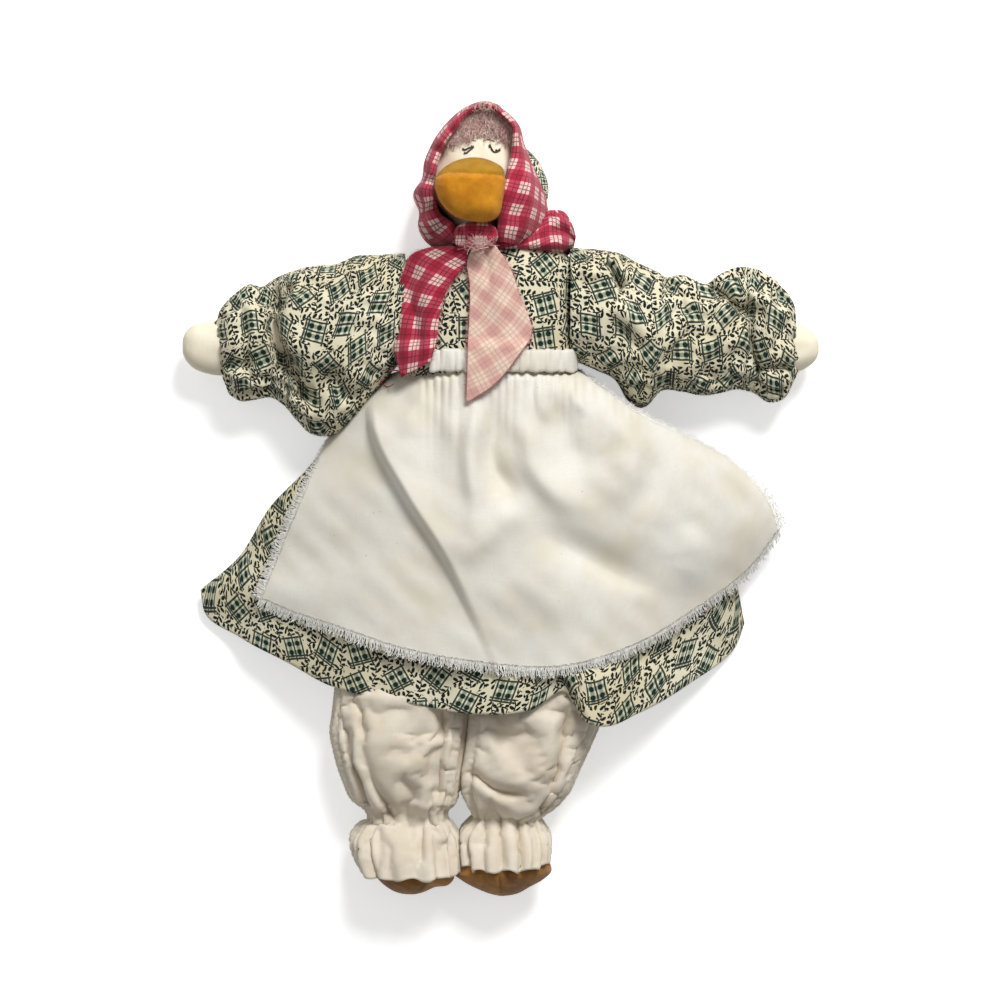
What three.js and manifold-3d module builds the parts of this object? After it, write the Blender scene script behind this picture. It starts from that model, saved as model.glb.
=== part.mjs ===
// A stuffed cloth duck doll in a calico dress, apron, pantaloons and tied kerchief.
// Millimetres. It lies on its back: +Y points to the head, +Z out of its front, and
// left and right are those of someone who looks at its front.

import * as THREE from 'three';
import { mergeVertices } from 'three/addons/utils/BufferGeometryUtils.js';
import Module from 'manifold-3d';

const wasm = await Module();
wasm.setup();

// Cloth and fit
const GAP = 0.4; // clearance between neighbouring pieces
const CLOTH = 1.2; // garment cloth with its turnings
const COVER = 1.0; // cloth of a stuffed cover
const FELT = 1.2; // felt of the bill
const SUEDE = 1.2; // suede of the feet
const ELASTIC_WALL = 1.2;
const ELASTIC_WIDTH = 5;
const STITCH_RADIUS = 0.7;

// Places along the body
const HEAD_TOP = 190.5; // top of the hood
const NECK = 118;
const WAIST = 62;
const HIP = 4;
const SOLE = -190.5;
const BODY_X = -7; // middle of the dress
const HEAD_X = -11; // middle of the head
const FINGERTIP = 153.3; // wing tip from the middle of the part

// Torso and head
const TORSO_HALF = 39;
const TORSO_DEPTH = 43;
const TORSO_REST = 24; // height of the torso's middle over the surface it lies on
const HEAD_HALF = 24;
const HEAD_DEPTH = 47;
const HEAD_REST = 27.5;
const HEAD_LENGTH = 65;

// Bill
const BILL_X = -14.5;
const BILL_Y = 146;
const BILL_HALF = 16.8;
const BILL_HEIGHT = 15.2;
const BILL_REACH = 25;
const BILL_SEAM = 6.3; // seam over the bill's middle

// Bodice and sleeves
const BODICE_EASE = 4.5; // bodice beyond the torso at each side
const BODICE_LOFT = 6.5; // bodice deeper than the torso
const BODICE_HALF = TORSO_HALF + BODICE_EASE;
const BODICE_DEPTH = TORSO_DEPTH + BODICE_LOFT;
const ARMHOLE = 17; // half size of the armhole
const SLEEVE_SEAT = 1.6; // how far the sleeve's head sits in the armhole
const SLEEVE_DEPTH = 41;
const WRIST_SHARE = { left: 0.86, right: 0.77 }; // gather along the sleeve
const SLEEVE_SHARE = { left: 0.83, right: 0.8935 }; // sleeve along the arm

// Kerchief
const KNOT_X = -14.3;
const KNOT_SIZE = [11.8, 6.8, 7];

// Skirt and apron
const SKIRT_HALF = 130;
const SKIRT_SHIFT = -6; // hem's middle from the waist's middle
const SKIRT_CROWN = BODICE_DEPTH - 3.2; // skirt's height at the waist
const HEM_CROWN = 42;
const HEM_LEFT = -50;
const HEM_RIGHT = -62;
const HEM_MIDDLE = -102;
const HEM_FLAP = 7; // fold that hangs lower at the right
const HEM_NOTCH = 12; // hem drawn up beside that fold
const FLAP_LIFT = 6;
const SKIRT_FOLD = 2;
const APRON_LIFT = 3.6;
const APRON_REST = 2; // least room from the skirt's under side to the apron's
const APRON_PLEAT = 7;
const BAND_HEIGHT = 10;
const BAND_THICK = 3;

// Pantaloons, legs and feet
const SEAT_EASE = 2; // seat beyond the torso at each side
const SEAT_HALF = TORSO_HALF + SEAT_EASE;
const SEAT_DEPTH = TORSO_DEPTH + SEAT_EASE / 2;
const LEG_DEPTH = 37;
const CUFF_END = { left: -180, right: -176 };
const ANKLE = -153;
const FOOT_THICK = 18;
const FOOT_REACH = 28;
const FOOT_HALF = { left: 17.5, right: 21 };
const FOOT_X = { left: -41.5, right: 1 };
const FOOT_TILT = { left: -0.19, right: 0.06 };

const RING = 16; // corners of a stuffed section
const GARMENT_RING = 20; // corners of a garment's section
const FULL = 2.4; // roundness of a stuffed section: 2 is an ellipse
const DRESS_FULL = 2.5;

// A cosine or sine drawn towards the corners of its box.
function rounded(value, fullness) {
  return Math.sign(value) * Math.abs(value) ** (2 / fullness);
}

// Closed geometry of a list of corners and faces, turned to face out.
function solid(corners, faces) {
  const volume = faces.reduce((sum, [a, b, c]) => {
    const cross = new THREE.Vector3().crossVectors(corners[b], corners[c]);
    return sum + corners[a].dot(cross);
  }, 0);
  const index = faces.flatMap(([a, b, c]) => (volume < 0 ? [a, c, b] : [a, b, c]));
  const geometry = new THREE.BufferGeometry();
  const places = corners.flatMap((corner) => corner.toArray());
  geometry.setAttribute('position', new THREE.Float32BufferAttribute(places, 3));
  geometry.setIndex(index);
  return geometry;
}

// A limb runs along one axis: station, then across and depth of each section.
const along = {
  x: (station, across, depth) => new THREE.Vector3(station, across, depth),
  y: (station, across, depth) => new THREE.Vector3(across, station, depth),
  z: (station, across, depth) => new THREE.Vector3(across, depth, station),
};

// Corners of one section [station, across, depth, half across, half depth, gather depth].
function section(axis, key, inset, form) {
  const [station, across, depth, halfAcross, halfDepth, gather = 0] = key;
  const { points = RING, fullness = FULL, gathers = points / 2, floor = () => -Infinity } = form;
  return Array.from({ length: points }, (_, i) => {
    const turn = (2 * Math.PI * i) / points;
    const wave = gather * Math.cos(gathers * turn) - inset;
    const u = across + Math.max(halfAcross + wave, COVER) * rounded(Math.cos(turn), fullness);
    const w = depth + Math.max(halfDepth + wave, COVER) * rounded(Math.sin(turn), fullness);
    return along[axis](station, u, Math.max(w, floor(station) + inset));
  });
}

// Band of triangles between two rings of corners, facing out or, for a lining, in.
function bridge(faces, first, second, count, inward = false) {
  for (let i = 0; i < count; i += 1) {
    const next = (i + 1) % count;
    const pair = [[first + i, second + i, second + next], [first + i, second + next, first + next]];
    faces.push(...pair.map(([a, b, c]) => (inward ? [a, c, b] : [a, b, c])));
  }
}

function middle(corners) {
  const sum = corners.reduce((total, corner) => total.add(corner), new THREE.Vector3());
  return sum.divideScalar(corners.length);
}

// Draws the first and last sections towards each other.
function shorten(keys, first, last) {
  const direction = Math.sign(keys.at(-1)[0] - keys[0][0]);
  return keys.map((key, i) => {
    const start = i === 0 ? direction * first : 0;
    const end = i === keys.length - 1 ? direction * last : 0;
    return [key[0] + start - end, ...key.slice(1)];
  });
}

// Solid through all sections, closed at both ends.
function loft(axis, keys, inset = 0, form = {}) {
  const rings = keys.map((key) => section(axis, key, inset, form));
  const count = rings[0].length;
  const faces = [];
  for (let k = 0; k + 1 < rings.length; k += 1) {
    bridge(faces, k * count, (k + 1) * count, count);
  }
  const start = rings.length * count;
  const last = (rings.length - 1) * count;
  for (let i = 0; i < count; i += 1) {
    const next = (i + 1) % count;
    faces.push([i, next, start], [last + next, last + i, start + 1]);
  }
  return solid([...rings.flat(), middle(rings[0]), middle(rings.at(-1))], faces);
}

// Shell of even wall, open at its first section and open or closed at its last.
function shell(axis, keys, wall, form = {}, closed = false) {
  const inner = shorten(keys, 0, closed ? wall : 0);
  const outside = keys.map((key) => section(axis, key, 0, form));
  const inside = inner.map((key) => section(axis, key, wall, form));
  const count = outside[0].length;
  const lining = outside.length * count;
  const faces = [];
  for (let k = 0; k + 1 < outside.length; k += 1) {
    bridge(faces, k * count, (k + 1) * count, count);
    bridge(faces, lining + k * count, lining + (k + 1) * count, count, true);
  }
  bridge(faces, lining, 0, count);
  const corners = [...outside.flat(), ...inside.flat()];
  const last = (outside.length - 1) * count;
  if (closed) {
    const cap = corners.length;
    corners.push(middle(outside.at(-1)), middle(inside.at(-1)));
    for (let i = 0; i < count; i += 1) {
      const next = (i + 1) % count;
      faces.push([last + next, last + i, cap]);
      faces.push([lining + last + i, lining + last + next, cap + 1]);
    }
  } else {
    bridge(faces, last, lining + last, count);
  }
  return solid(corners, faces);
}

function pouch(axis, keys, wall, form = {}) {
  return shell(axis, keys, wall, form, true);
}

// Stuffing that fills a cover with the clearance all round.
function filling(axis, keys, wall, form = {}) {
  return loft(axis, shorten(keys, 0, wall + GAP), wall + GAP, form);
}

// Cloth of even thickness over a grid of points, its under side on the grid.
function sheet(grid, thickness) {
  const rows = grid.length;
  const columns = grid[0].length;
  const within = (i, count) => THREE.MathUtils.clamp(i, 0, count - 1);
  const at = (r, c) => grid[within(r, rows)][within(c, columns)];
  const upper = grid.flatMap((row, r) => row.map((point, c) => {
    const across = new THREE.Vector3().subVectors(at(r, c + 1), at(r, c - 1));
    const down = new THREE.Vector3().subVectors(at(r + 1, c), at(r - 1, c));
    const normal = across.cross(down).normalize();
    return point.clone().addScaledVector(normal, normal.z < 0 ? -thickness : thickness);
  }));
  const count = rows * columns;
  const faces = [];
  for (let r = 0; r + 1 < rows; r += 1) {
    for (let c = 0; c + 1 < columns; c += 1) {
      const [a, b] = [r * columns + c, r * columns + c + 1];
      const [d, e] = [a + columns, b + columns];
      faces.push([a, b, e], [a, e, d]);
      faces.push([count + a, count + e, count + b], [count + a, count + d, count + e]);
    }
  }
  const [lastRow, lastColumn] = [rows - 1, columns - 1];
  const run = (length, corner) => Array.from({ length }, (_, i) => corner(i));
  const rim = [
    ...run(lastColumn, (c) => c),
    ...run(lastRow, (r) => r * columns + lastColumn),
    ...run(lastColumn, (c) => lastRow * columns + lastColumn - c),
    ...run(lastRow, (r) => (lastRow - r) * columns),
  ];
  rim.forEach((a, i) => {
    const b = rim[(i + 1) % rim.length];
    faces.push([a, count + a, count + b], [a, count + b, b]);
  });
  return solid([...grid.flat(), ...upper], faces);
}

// Grid of points, rows from 0 to 1 down and columns from 0 to 1 across.
function grid(rows, columns, point) {
  return Array.from({ length: rows + 1 }, (_, r) => (
    Array.from({ length: columns + 1 }, (__, c) => point(r / rows, c / columns))
  ));
}

function curve(points) {
  return new THREE.SplineCurve(points.map(([x, y]) => new THREE.Vector2(x, y)));
}

// Patch between a top, bottom, left and right curve in plan.
function patch(top, bottom, left, right, v, u) {
  const ruled = (a, b, share) => a.clone().lerp(b, share);
  const down = ruled(top.getPoint(u), bottom.getPoint(u), v);
  const across = ruled(left.getPoint(v), right.getPoint(v), u);
  const upper = ruled(left.getPoint(0), right.getPoint(0), u);
  const lower = ruled(left.getPoint(1), right.getPoint(1), u);
  return down.add(across).sub(ruled(upper, lower, v));
}

function toManifold(geometry) {
  const bare = geometry.clone();
  bare.deleteAttribute('normal');
  bare.deleteAttribute('uv');
  const merged = mergeVertices(bare, 1e-4);
  return new wasm.Manifold(new wasm.Mesh({
    numProp: 3,
    vertProperties: new Float32Array(merged.attributes.position.array),
    triVerts: new Uint32Array(merged.index.array),
  }));
}

function fromManifold(body) {
  const mesh = body.getMesh();
  const geometry = new THREE.BufferGeometry();
  geometry.setAttribute('position', new THREE.BufferAttribute(new Float32Array(mesh.vertProperties), 3));
  geometry.setIndex(new THREE.BufferAttribute(new Uint32Array(mesh.triVerts), 1));
  return geometry;
}

function cut(geometry, ...tools) {
  const body = tools.reduce((rest, tool) => rest.subtract(toManifold(tool)), toManifold(geometry));
  return fromManifold(body);
}

// The half of a piece above or below a seam that leans from a point.
function halfOf(geometry, point, lean, side) {
  const size = 2 * FINGERTIP;
  const block = new THREE.BoxGeometry(size, size, size);
  block.translate(0, side * (size / 2 + GAP / 2), 0);
  block.rotateZ(Math.atan(lean));
  block.translate(...point);
  return fromManifold(toManifold(geometry).intersect(toManifold(block)));
}

// Height of a rounded section's front at a place across it.
function frontOf([, across, depth, halfAcross, halfDepth], x, fullness) {
  const u = Math.min(Math.abs((x - across) / halfAcross), 1);
  return depth + halfDepth * (1 - u ** fullness) ** (1 / fullness);
}

// The section of a run of keys at a station.
function keyAt(keys, station) {
  const direction = Math.sign(keys.at(-1)[0] - keys[0][0]);
  const passed = keys.filter((key) => direction * (station - key[0]) > 0).length;
  const k = THREE.MathUtils.clamp(passed, 1, keys.length - 1);
  const [a, b] = [keys[k - 1], keys[k]];
  const share = (station - a[0]) / (b[0] - a[0]);
  return a.map((value, i) => THREE.MathUtils.lerp(value, b[i], share));
}

const looks = {
  muslin: { color: '#f2ecdb', roughness: 0.9 },
  stuffing: { color: '#f6f4ee', roughness: 1.0 },
  calico: { color: '#c9c9ae', roughness: 0.85 },
  apron: { color: '#e4e2d8', roughness: 0.85 },
  pantaloons: { color: '#e3d8c2', roughness: 0.9 },
  check: { color: '#a51c3c', roughness: 0.85 },
  checkReverse: { color: '#dfb4a8', roughness: 0.85 },
  felt: { color: '#d0962a', roughness: 0.95 },
  suede: { color: '#7d5216', roughness: 0.9 },
  thread: { color: '#4a4038', roughness: 0.8 },
  elastic: { color: '#efefea', roughness: 0.7 },
};

const doll = new THREE.Group();
doll.name = 'cloth_duck_doll';

function body(name) {
  const group = new THREE.Group();
  group.name = name;
  doll.add(group);
  return group;
}

function add(group, name, geometry, look) {
  const material = new THREE.MeshStandardMaterial({ ...looks[look], metalness: 0 });
  const mesh = new THREE.Mesh(geometry, material);
  mesh.name = name;
  group.add(mesh);
}

// Torso, open at the neck where the head is sewn on.
const torsoKeys = [
  [NECK, BODY_X - 4, TORSO_REST, 0.44 * TORSO_HALF, 0.35 * TORSO_DEPTH],
  [NECK - 13, BODY_X - 2, TORSO_REST, 0.9 * TORSO_HALF, 0.46 * TORSO_DEPTH],
  [NECK - 38, BODY_X, TORSO_REST, TORSO_HALF, TORSO_DEPTH / 2],
  [WAIST - 12, BODY_X, TORSO_REST - 0.5, 0.9 * TORSO_HALF, 0.42 * TORSO_DEPTH],
  [HIP + 18, BODY_X, TORSO_REST - 1.5, 0.93 * TORSO_HALF, 0.4 * TORSO_DEPTH],
  [HIP + 6, BODY_X, TORSO_REST - 2, 0.77 * TORSO_HALF, 0.33 * TORSO_DEPTH],
  [HIP + 1.5, BODY_X, TORSO_REST - 2, 0.46 * TORSO_HALF, 0.19 * TORSO_DEPTH],
];

const torso = body('torso');
add(torso, 'torso_cover', pouch('y', torsoKeys, COVER), 'muslin');
add(torso, 'torso_stuffing', filling('y', torsoKeys, COVER), 'stuffing');

// Bodice, a sewn tube with an armhole at each side, its back flat where it lies.
const bodiceRest = BODICE_DEPTH / 2 - 0.25;
const bodiceKeys = [
  [WAIST + GAP, BODY_X, bodiceRest - 1, BODICE_HALF - 1, BODICE_DEPTH / 2 - 0.5],
  [WAIST + 18, BODY_X, bodiceRest, BODICE_HALF, BODICE_DEPTH / 2 + 0.25],
  [NECK - 14, BODY_X, bodiceRest, BODICE_HALF - 0.5, BODICE_DEPTH / 2 + 0.25],
  [NECK - 5, BODY_X - 1, bodiceRest, BODICE_HALF - 5, BODICE_DEPTH / 2 - 1],
  [NECK - GAP, BODY_X - 3, bodiceRest, 0.62 * BODICE_HALF, BODICE_DEPTH / 2 - 2],
];
const onFloor = { floor: () => 0 };
const dressForm = { ...onFloor, fullness: DRESS_FULL, points: GARMENT_RING };
const shoulderY = (WAIST + NECK) / 2 + 1;
const sleeveRest = SLEEVE_DEPTH / 2;

const sleeveForm = { ...onFloor, points: GARMENT_RING };
const armholeRest = sleeveRest + 1;

// Section in the armhole, drawn in from its edge.
function armholeKey(station, inset) {
  return [station, shoulderY, armholeRest, ARMHOLE - inset, ARMHOLE - inset];
}

const armholes = loft('x', [armholeKey(-FINGERTIP, 0), armholeKey(FINGERTIP, 0)], 0, sleeveForm);
add(torso, 'bodice', cut(shell('y', bodiceKeys, CLOTH, dressForm), armholes), 'calico');

// Skirt: a front panel that arches over the legs and a flat back panel under them.
const skirtBase = CLOTH + 1.5 * GAP;
const hemX = BODY_X + SKIRT_SHIFT;
const waistHalf = BODICE_HALF - 1;

// A swell that is 1 at its middle and next to nothing two widths away.
function swell(distance, width) {
  return Math.exp(-((distance / width) ** 2));
}

function hemAt(share) {
  const [side, bend] = share < 0 ? [HEM_LEFT, 2.2] : [HEM_RIGHT, 4];
  const drop = side + (HEM_MIDDLE - side) * (1 - Math.abs(share) ** bend);
  return drop - HEM_FLAP * swell(share - 0.55, 0.2) + HEM_NOTCH * swell(share - 0.33, 0.045);
}

// Fall of cloth from a crest to the floor: 1 at the crest and 0 at its edge.
function fall(share, shoulder) {
  return Math.cos((Math.PI / 2) * Math.min(Math.abs(share), 1) ** shoulder) ** 2;
}

// Height of the dress's cloth: full like the bodice at the waist, fallen over the legs at the hem.
function dressHeight(v, across) {
  const share = Math.min(Math.abs(across), 1);
  const round = (1 - share ** DRESS_FULL) ** (1 / DRESS_FULL);
  const profile = THREE.MathUtils.lerp(round, fall(share, 1.7), THREE.MathUtils.smoothstep(v, 0, 1));
  return skirtBase + (THREE.MathUtils.lerp(SKIRT_CROWN, HEM_CROWN, v) - skirtBase) * profile;
}

// A place on the skirt, with small folds at the hem and a fold that stands up at the right.
function skirtPoint(v, across) {
  const { lerp, smoothstep } = THREE.MathUtils;
  const x = lerp(BODY_X, hemX, v) + lerp(waistHalf, SKIRT_HALF, v) * across;
  const y = lerp(WAIST - GAP, hemAt(across), v);
  const fold = SKIRT_FOLD * v ** 4 * (1 - across ** 2) * (1 + Math.cos(5 * Math.PI * across)) / 2;
  const beside = smoothstep(across, 0.3, 0.42) * (1 - smoothstep(across, 0.6, 0.95));
  const flap = FLAP_LIFT * beside * smoothstep(v, 0.87, 0.97);
  return new THREE.Vector3(x, y, dressHeight(v, across) + fold + flap);
}

// Columns of the skirt: closer at the sides, where the cloth turns down.
function skirtAcross(u) {
  const even = 2 * u - 1;
  return THREE.MathUtils.lerp(even, rounded(-Math.cos(Math.PI * u), DRESS_FULL), 0.5);
}

function skirtFront() {
  return sheet(grid(9, 32, (v, u) => skirtPoint(v, skirtAcross(u))), CLOTH);
}

function skirtBack() {
  const outline = new THREE.Shape();
  outline.moveTo(BODY_X - waistHalf, WAIST - GAP);
  outline.lineTo(hemX - SKIRT_HALF, hemAt(-1));
  const hem = [-0.75, -0.4, 0, 0.4, 0.75].map((share) => (
    new THREE.Vector2(hemX + SKIRT_HALF * share, hemAt(share) + CLOTH)
  ));
  outline.splineThru([...hem, new THREE.Vector2(hemX + SKIRT_HALF, hemAt(1))]);
  outline.lineTo(BODY_X + waistHalf, WAIST - GAP);
  return new THREE.ExtrudeGeometry(outline, { depth: CLOTH, bevelEnabled: false, curveSegments: 3 });
}

add(torso, 'skirt_front_panel', skirtFront(), 'calico');
add(torso, 'skirt_back_panel', skirtBack(), 'calico');

// Height of the skirt over a place in plan.
function skirtHeight(x, y) {
  let v = 0.5;
  let across = 0;
  for (let i = 0; i < 8; i += 1) {
    const half = THREE.MathUtils.lerp(waistHalf, SKIRT_HALF, v);
    across = THREE.MathUtils.clamp((x - THREE.MathUtils.lerp(BODY_X, hemX, v)) / half, -1, 1);
    v = THREE.MathUtils.clamp((WAIST - GAP - y) / (WAIST - GAP - hemAt(across)), 0, 1);
  }
  return skirtPoint(v, across).z;
}

// Apron: a gathered band on the waist and a panel that falls from it over the skirt.
const bandRight = 0.93;
const bandLeft = -0.52;
const bandFoot = WAIST - 1.2;

function bandPoint(v, u) {
  const across = THREE.MathUtils.lerp(bandLeft, bandRight, u);
  const x = BODY_X + waistHalf * across;
  const y = bandFoot + BAND_HEIGHT * (1 - v);
  const z = frontOf(keyAt(bodiceKeys, Math.max(y, bodiceKeys[0][0])), x, DRESS_FULL) + GAP;
  return new THREE.Vector3(x, y, z);
}

const bandEnd = BODY_X + BODICE_HALF * bandRight;
const apronTop = bandFoot - CLOTH - GAP; // leaves room for the panel's lean
const apronCorner = [BODY_X - 43, apronTop - 4];
const apronCurves = {
  top: curve([
    apronCorner, [BODY_X - 27, apronTop - 1], [BODY_X, apronTop], [bandEnd, apronTop],
  ]),
  bottom: curve([
    [-116, -47], [-82, -60], [-48, -71], [-10, -78], [28, -81], [66, -70], [95, -53], [133, -15],
  ]),
  left: curve([apronCorner, [-71, 31], [-95, -1], [-116, -47]]),
  right: curve([[bandEnd, apronTop], [71, 37], [112, 16], [133, -15]]),
};

// Right side of the apron's fall in plan, as a place down and the side there.
const apronSide = [[62, 38], [45, 74], [16, 118], [-15, 138], [-40, 126], [-110, 120]];
// The long pleat, as a place down and the pleat's place across there.
const pleatKeys = [[58, -62], [32, -61], [4, -47], [-28, -27], [-77, -4]];
// Folds of the apron: a path in plan, the width and the height of a ridge, or of a hollow below 0.
const apronFolds = [
  { path: [[-13, 38], [-15, 17], [-13, 0]], width: 6, height: 4.5 },
  { path: [[16, 10], [4, -1], [-12, -16]], width: 8, height: 5 },
  { path: [[-8, 24], [-4, 10], [6, 10]], width: 8, height: -6.5 },
  { path: [[14, 10], [37, -5], [47, -8], [60, 11], [61, 25], [53, 36], [46, 48]], width: 7, height: 5.5 },
  { path: [[22, 36], [32, 26], [44, 16]], width: 9, height: -5.5 },
  { path: [[17, -4], [27, -18], [58, -37], [80, -42]], width: 9, height: -6 },
  { path: [[8, -30], [20, -42], [34, -50]], width: 14, height: 3 },
  { path: [[87, -14], [91, -30], [86, -46]], width: 11, height: 3.4 },
  { path: [[-28, 46], [-31, 20], [-24, -8]], width: 11, height: -3 },
];

function distanceTo(path, x, y) {
  const place = new THREE.Vector3(x, y, 0);
  const corners = path.map(([px, py]) => new THREE.Vector3(px, py, 0));
  return Math.min(...corners.slice(1).map((end, i) => {
    const nearest = new THREE.Line3(corners[i], end).closestPointToPoint(place, true, new THREE.Vector3());
    return nearest.distanceTo(place);
  }));
}

// How far the pleat and the folds lift the apron at a place in plan.
function apronRelief(x, y) {
  const { smoothstep } = THREE.MathUtils;
  const past = x - keyAt(pleatKeys, y)[1];
  const pleat = APRON_PLEAT * smoothstep(past, -3, 3) * swell(past, 50) * smoothstep(apronTop - y, 10, 32);
  const folds = apronFolds.reduce((sum, { path, width, height }) => (
    sum + height * swell(distanceTo(path, x, y), width)
  ), 0);
  return pleat + folds * smoothstep(apronTop - y, 8, 22);
}

// The panel lies on the skirt, and past the skirt's right edge it slopes to the floor.
function apronPoint(v, u) {
  const { top, bottom, left, right } = apronCurves;
  const { x, y } = patch(top, bottom, left, right, v, u);
  const under = skirtHeight(x, y);
  const down = (WAIST - y) / (WAIST - HEM_MIDDLE);
  const ramp = x > BODY_X ? dressHeight(down, (x - BODY_X) / (keyAt(apronSide, y)[1] - BODY_X)) : under;
  const z = Math.max(under, ramp) + APRON_LIFT + apronRelief(x, y);
  return new THREE.Vector3(x, y, Math.max(z, under + APRON_REST));
}

add(torso, 'apron_waistband', sheet(grid(1, 14, bandPoint), BAND_THICK), 'apron');
add(torso, 'apron_panel', sheet(grid(16, 34, apronPoint), CLOTH), 'apron');

// Pantaloons: a seat round the torso and two legs, each drawn in by an elastic.
const seatRest = TORSO_REST - 1.5;
const seatFloor = { floor: () => skirtBase, points: RING };
const seatKeys = [
  [HIP + GAP, BODY_X, seatRest, SEAT_HALF, SEAT_DEPTH / 2],
  [HIP + 20, BODY_X, seatRest, SEAT_HALF, SEAT_DEPTH / 2],
  [WAIST - 18, BODY_X, seatRest, SEAT_HALF - 1, SEAT_DEPTH / 2 - 0.5],
];

// Elastic ring inside a tube of cloth at one of its sections.
function elastic(axis, key, wall, form) {
  const [station, across, depth, halfAcross, halfDepth, gather = 0] = key;
  const inset = wall + GAP;
  const ends = [station - ELASTIC_WIDTH / 2, station + ELASTIC_WIDTH / 2];
  const keys = ends.map((end) => [end, across, depth, halfAcross - inset, halfDepth - inset, gather]);
  const raised = { ...form, floor: (at) => form.floor(at) + inset };
  return shell(axis, keys, ELASTIC_WALL, raised);
}

const seatElasticKey = [WAIST - 24, BODY_X, seatRest, SEAT_HALF - 1, SEAT_DEPTH / 2 - 0.5];
add(torso, 'pantaloon_seat', shell('y', seatKeys, CLOTH, seatFloor), 'pantaloons');
add(torso, 'pantaloon_waist_elastic', elastic('y', seatElasticKey, CLOTH, seatFloor), 'elastic');

// Kerchief knot, resting on the bodice's neck.
const knotY = NECK + 2.5;
const knotZ = bodiceRest + BODICE_DEPTH / 2 - 2 + KNOT_SIZE[2] * 0.86 + GAP;

function knot() {
  const lump = new THREE.SphereGeometry(1, 12, 7);
  lump.deleteAttribute('normal');
  lump.deleteAttribute('uv');
  lump.scale(...KNOT_SIZE);
  return mergeVertices(lump.translate(KNOT_X, knotY, knotZ), 1e-3);
}

add(torso, 'kerchief_knot', knot(), 'check');

// Kerchief tails: sheets ruled between a left and a right edge, hung from the knot.
const tailTop = NECK - 0.5;
const tailHeight = bandPoint(0, 0.35).z + BAND_THICK + 1.5 * GAP;
const tails = {
  left: {
    near: curve([[-41, tailTop], [-47, 105], [-49, 90], [-49, 67], [-46.8, 54.4]]),
    far: curve([[-25, tailTop], [-24.5, 107], [-28, 90], [-32, 73], [-36, 64], [-45, 54]]),
    height: (x) => tailHeight - 0.28 * Math.max(0, -21 - x),
    look: 'check',
  },
  right: {
    near: curve([[-15, tailTop - 4.3], [-15.4, 100], [-15.8, 75], [-16.2, 46.3]]),
    far: curve([[-3, tailTop - 4.3], [4.3, 106], [8.5, 96], [14.3, 77], [7, 66], [-3.5, 54], [-15, 45.8]]),
    height: () => tailHeight,
    look: 'checkReverse',
  },
};

for (const [side, { near, far, height, look }] of Object.entries(tails)) {
  const points = grid(8, 4, (v, u) => {
    const { x, y } = near.getPoint(v).lerp(far.getPoint(v), u);
    return new THREE.Vector3(x, y, height(x) + 0.8 * (1 - Math.cos(4 * Math.PI * u)) * v * (1 - v));
  });
  add(body(`${side}_tail_body`), `${side}_tail`, sheet(points, CLOTH), look);
}

// Head, open at the neck, with the face to the front.
const headStart = NECK + GAP;
const headKeys = [
  [0, 0.58, 0.3, -3], [0.15, 0.83, 0.39, -2], [0.35, 0.98, 0.47, -1], [0.5, 1, 0.5, 0],
  [0.7, 0.94, 0.49, 0], [0.86, 0.7, 0.38, 0], [0.95, 0.45, 0.24, 0], [1, 0.2, 0.12, 0],
].map(([share, half, depth, drop]) => (
  [headStart + share * HEAD_LENGTH, HEAD_X, HEAD_REST + drop, half * HEAD_HALF, depth * HEAD_DEPTH]
));

function faceHeight(x, y) {
  return frontOf(keyAt(headKeys, y), x, FULL);
}

const head = body('head');
add(head, 'head_cover', pouch('y', headKeys, COVER), 'muslin');
add(head, 'head_stuffing', filling('y', headKeys, COVER), 'stuffing');

// Eyes and brows: rows of stitches drawn on the face.
const stitches = {
  left_eye_stitch: { x: -15.3, y: 165.2, half: 3.4, rise: -0.8 },
  right_eye_stitch: { x: -4.8, y: 166.2, half: 3, rise: -0.6 },
  left_brow_stitch: { x: -14.6, y: 168.9, half: 2.6, rise: 0.9 },
  right_brow_stitch: { x: -5.4, y: 169.2, half: 2.2, rise: 0.8 },
};

for (const [name, { x, y, half, rise }] of Object.entries(stitches)) {
  const path = new THREE.CatmullRomCurve3([-1, -0.5, 0, 0.5, 1].map((share) => {
    const [px, py] = [x + half * share, y + rise * (1 - share * share)];
    return new THREE.Vector3(px, py, faceHeight(px, py) + STITCH_RADIUS + GAP / 2);
  }));
  const profile = new THREE.Shape().absarc(0, 0, STITCH_RADIUS, 0, 2 * Math.PI);
  const form = { steps: 4, curveSegments: 3, extrudePath: path };
  add(head, name, new THREE.ExtrudeGeometry(profile, form), 'thread');
}

// Bill: two felt halves sewn along a seam round a stuffed pad.
const billStart = HEAD_REST + HEAD_DEPTH / 2 + GAP;
const billKeys = [
  [0, 0.78, 0.84], [0.22, 0.82, 0.92], [0.45, 0.97, 1], [0.68, 1, 0.98], [0.88, 0.8, 0.78], [1, 0.36, 0.33],
].map(([share, half, height]) => (
  [billStart + share * BILL_REACH, BILL_X, BILL_Y, half * BILL_HALF, height * BILL_HEIGHT]
));
const billCover = pouch('z', billKeys, FELT);
const billSeam = [BILL_X, BILL_Y + BILL_SEAM, 0];
add(head, 'upper_bill', halfOf(billCover, billSeam, 0, 1), 'felt');
add(head, 'lower_bill', halfOf(billCover, billSeam, 0, -1), 'felt');
add(head, 'bill_stuffing', filling('z', billKeys, FELT), 'stuffing');

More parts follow.
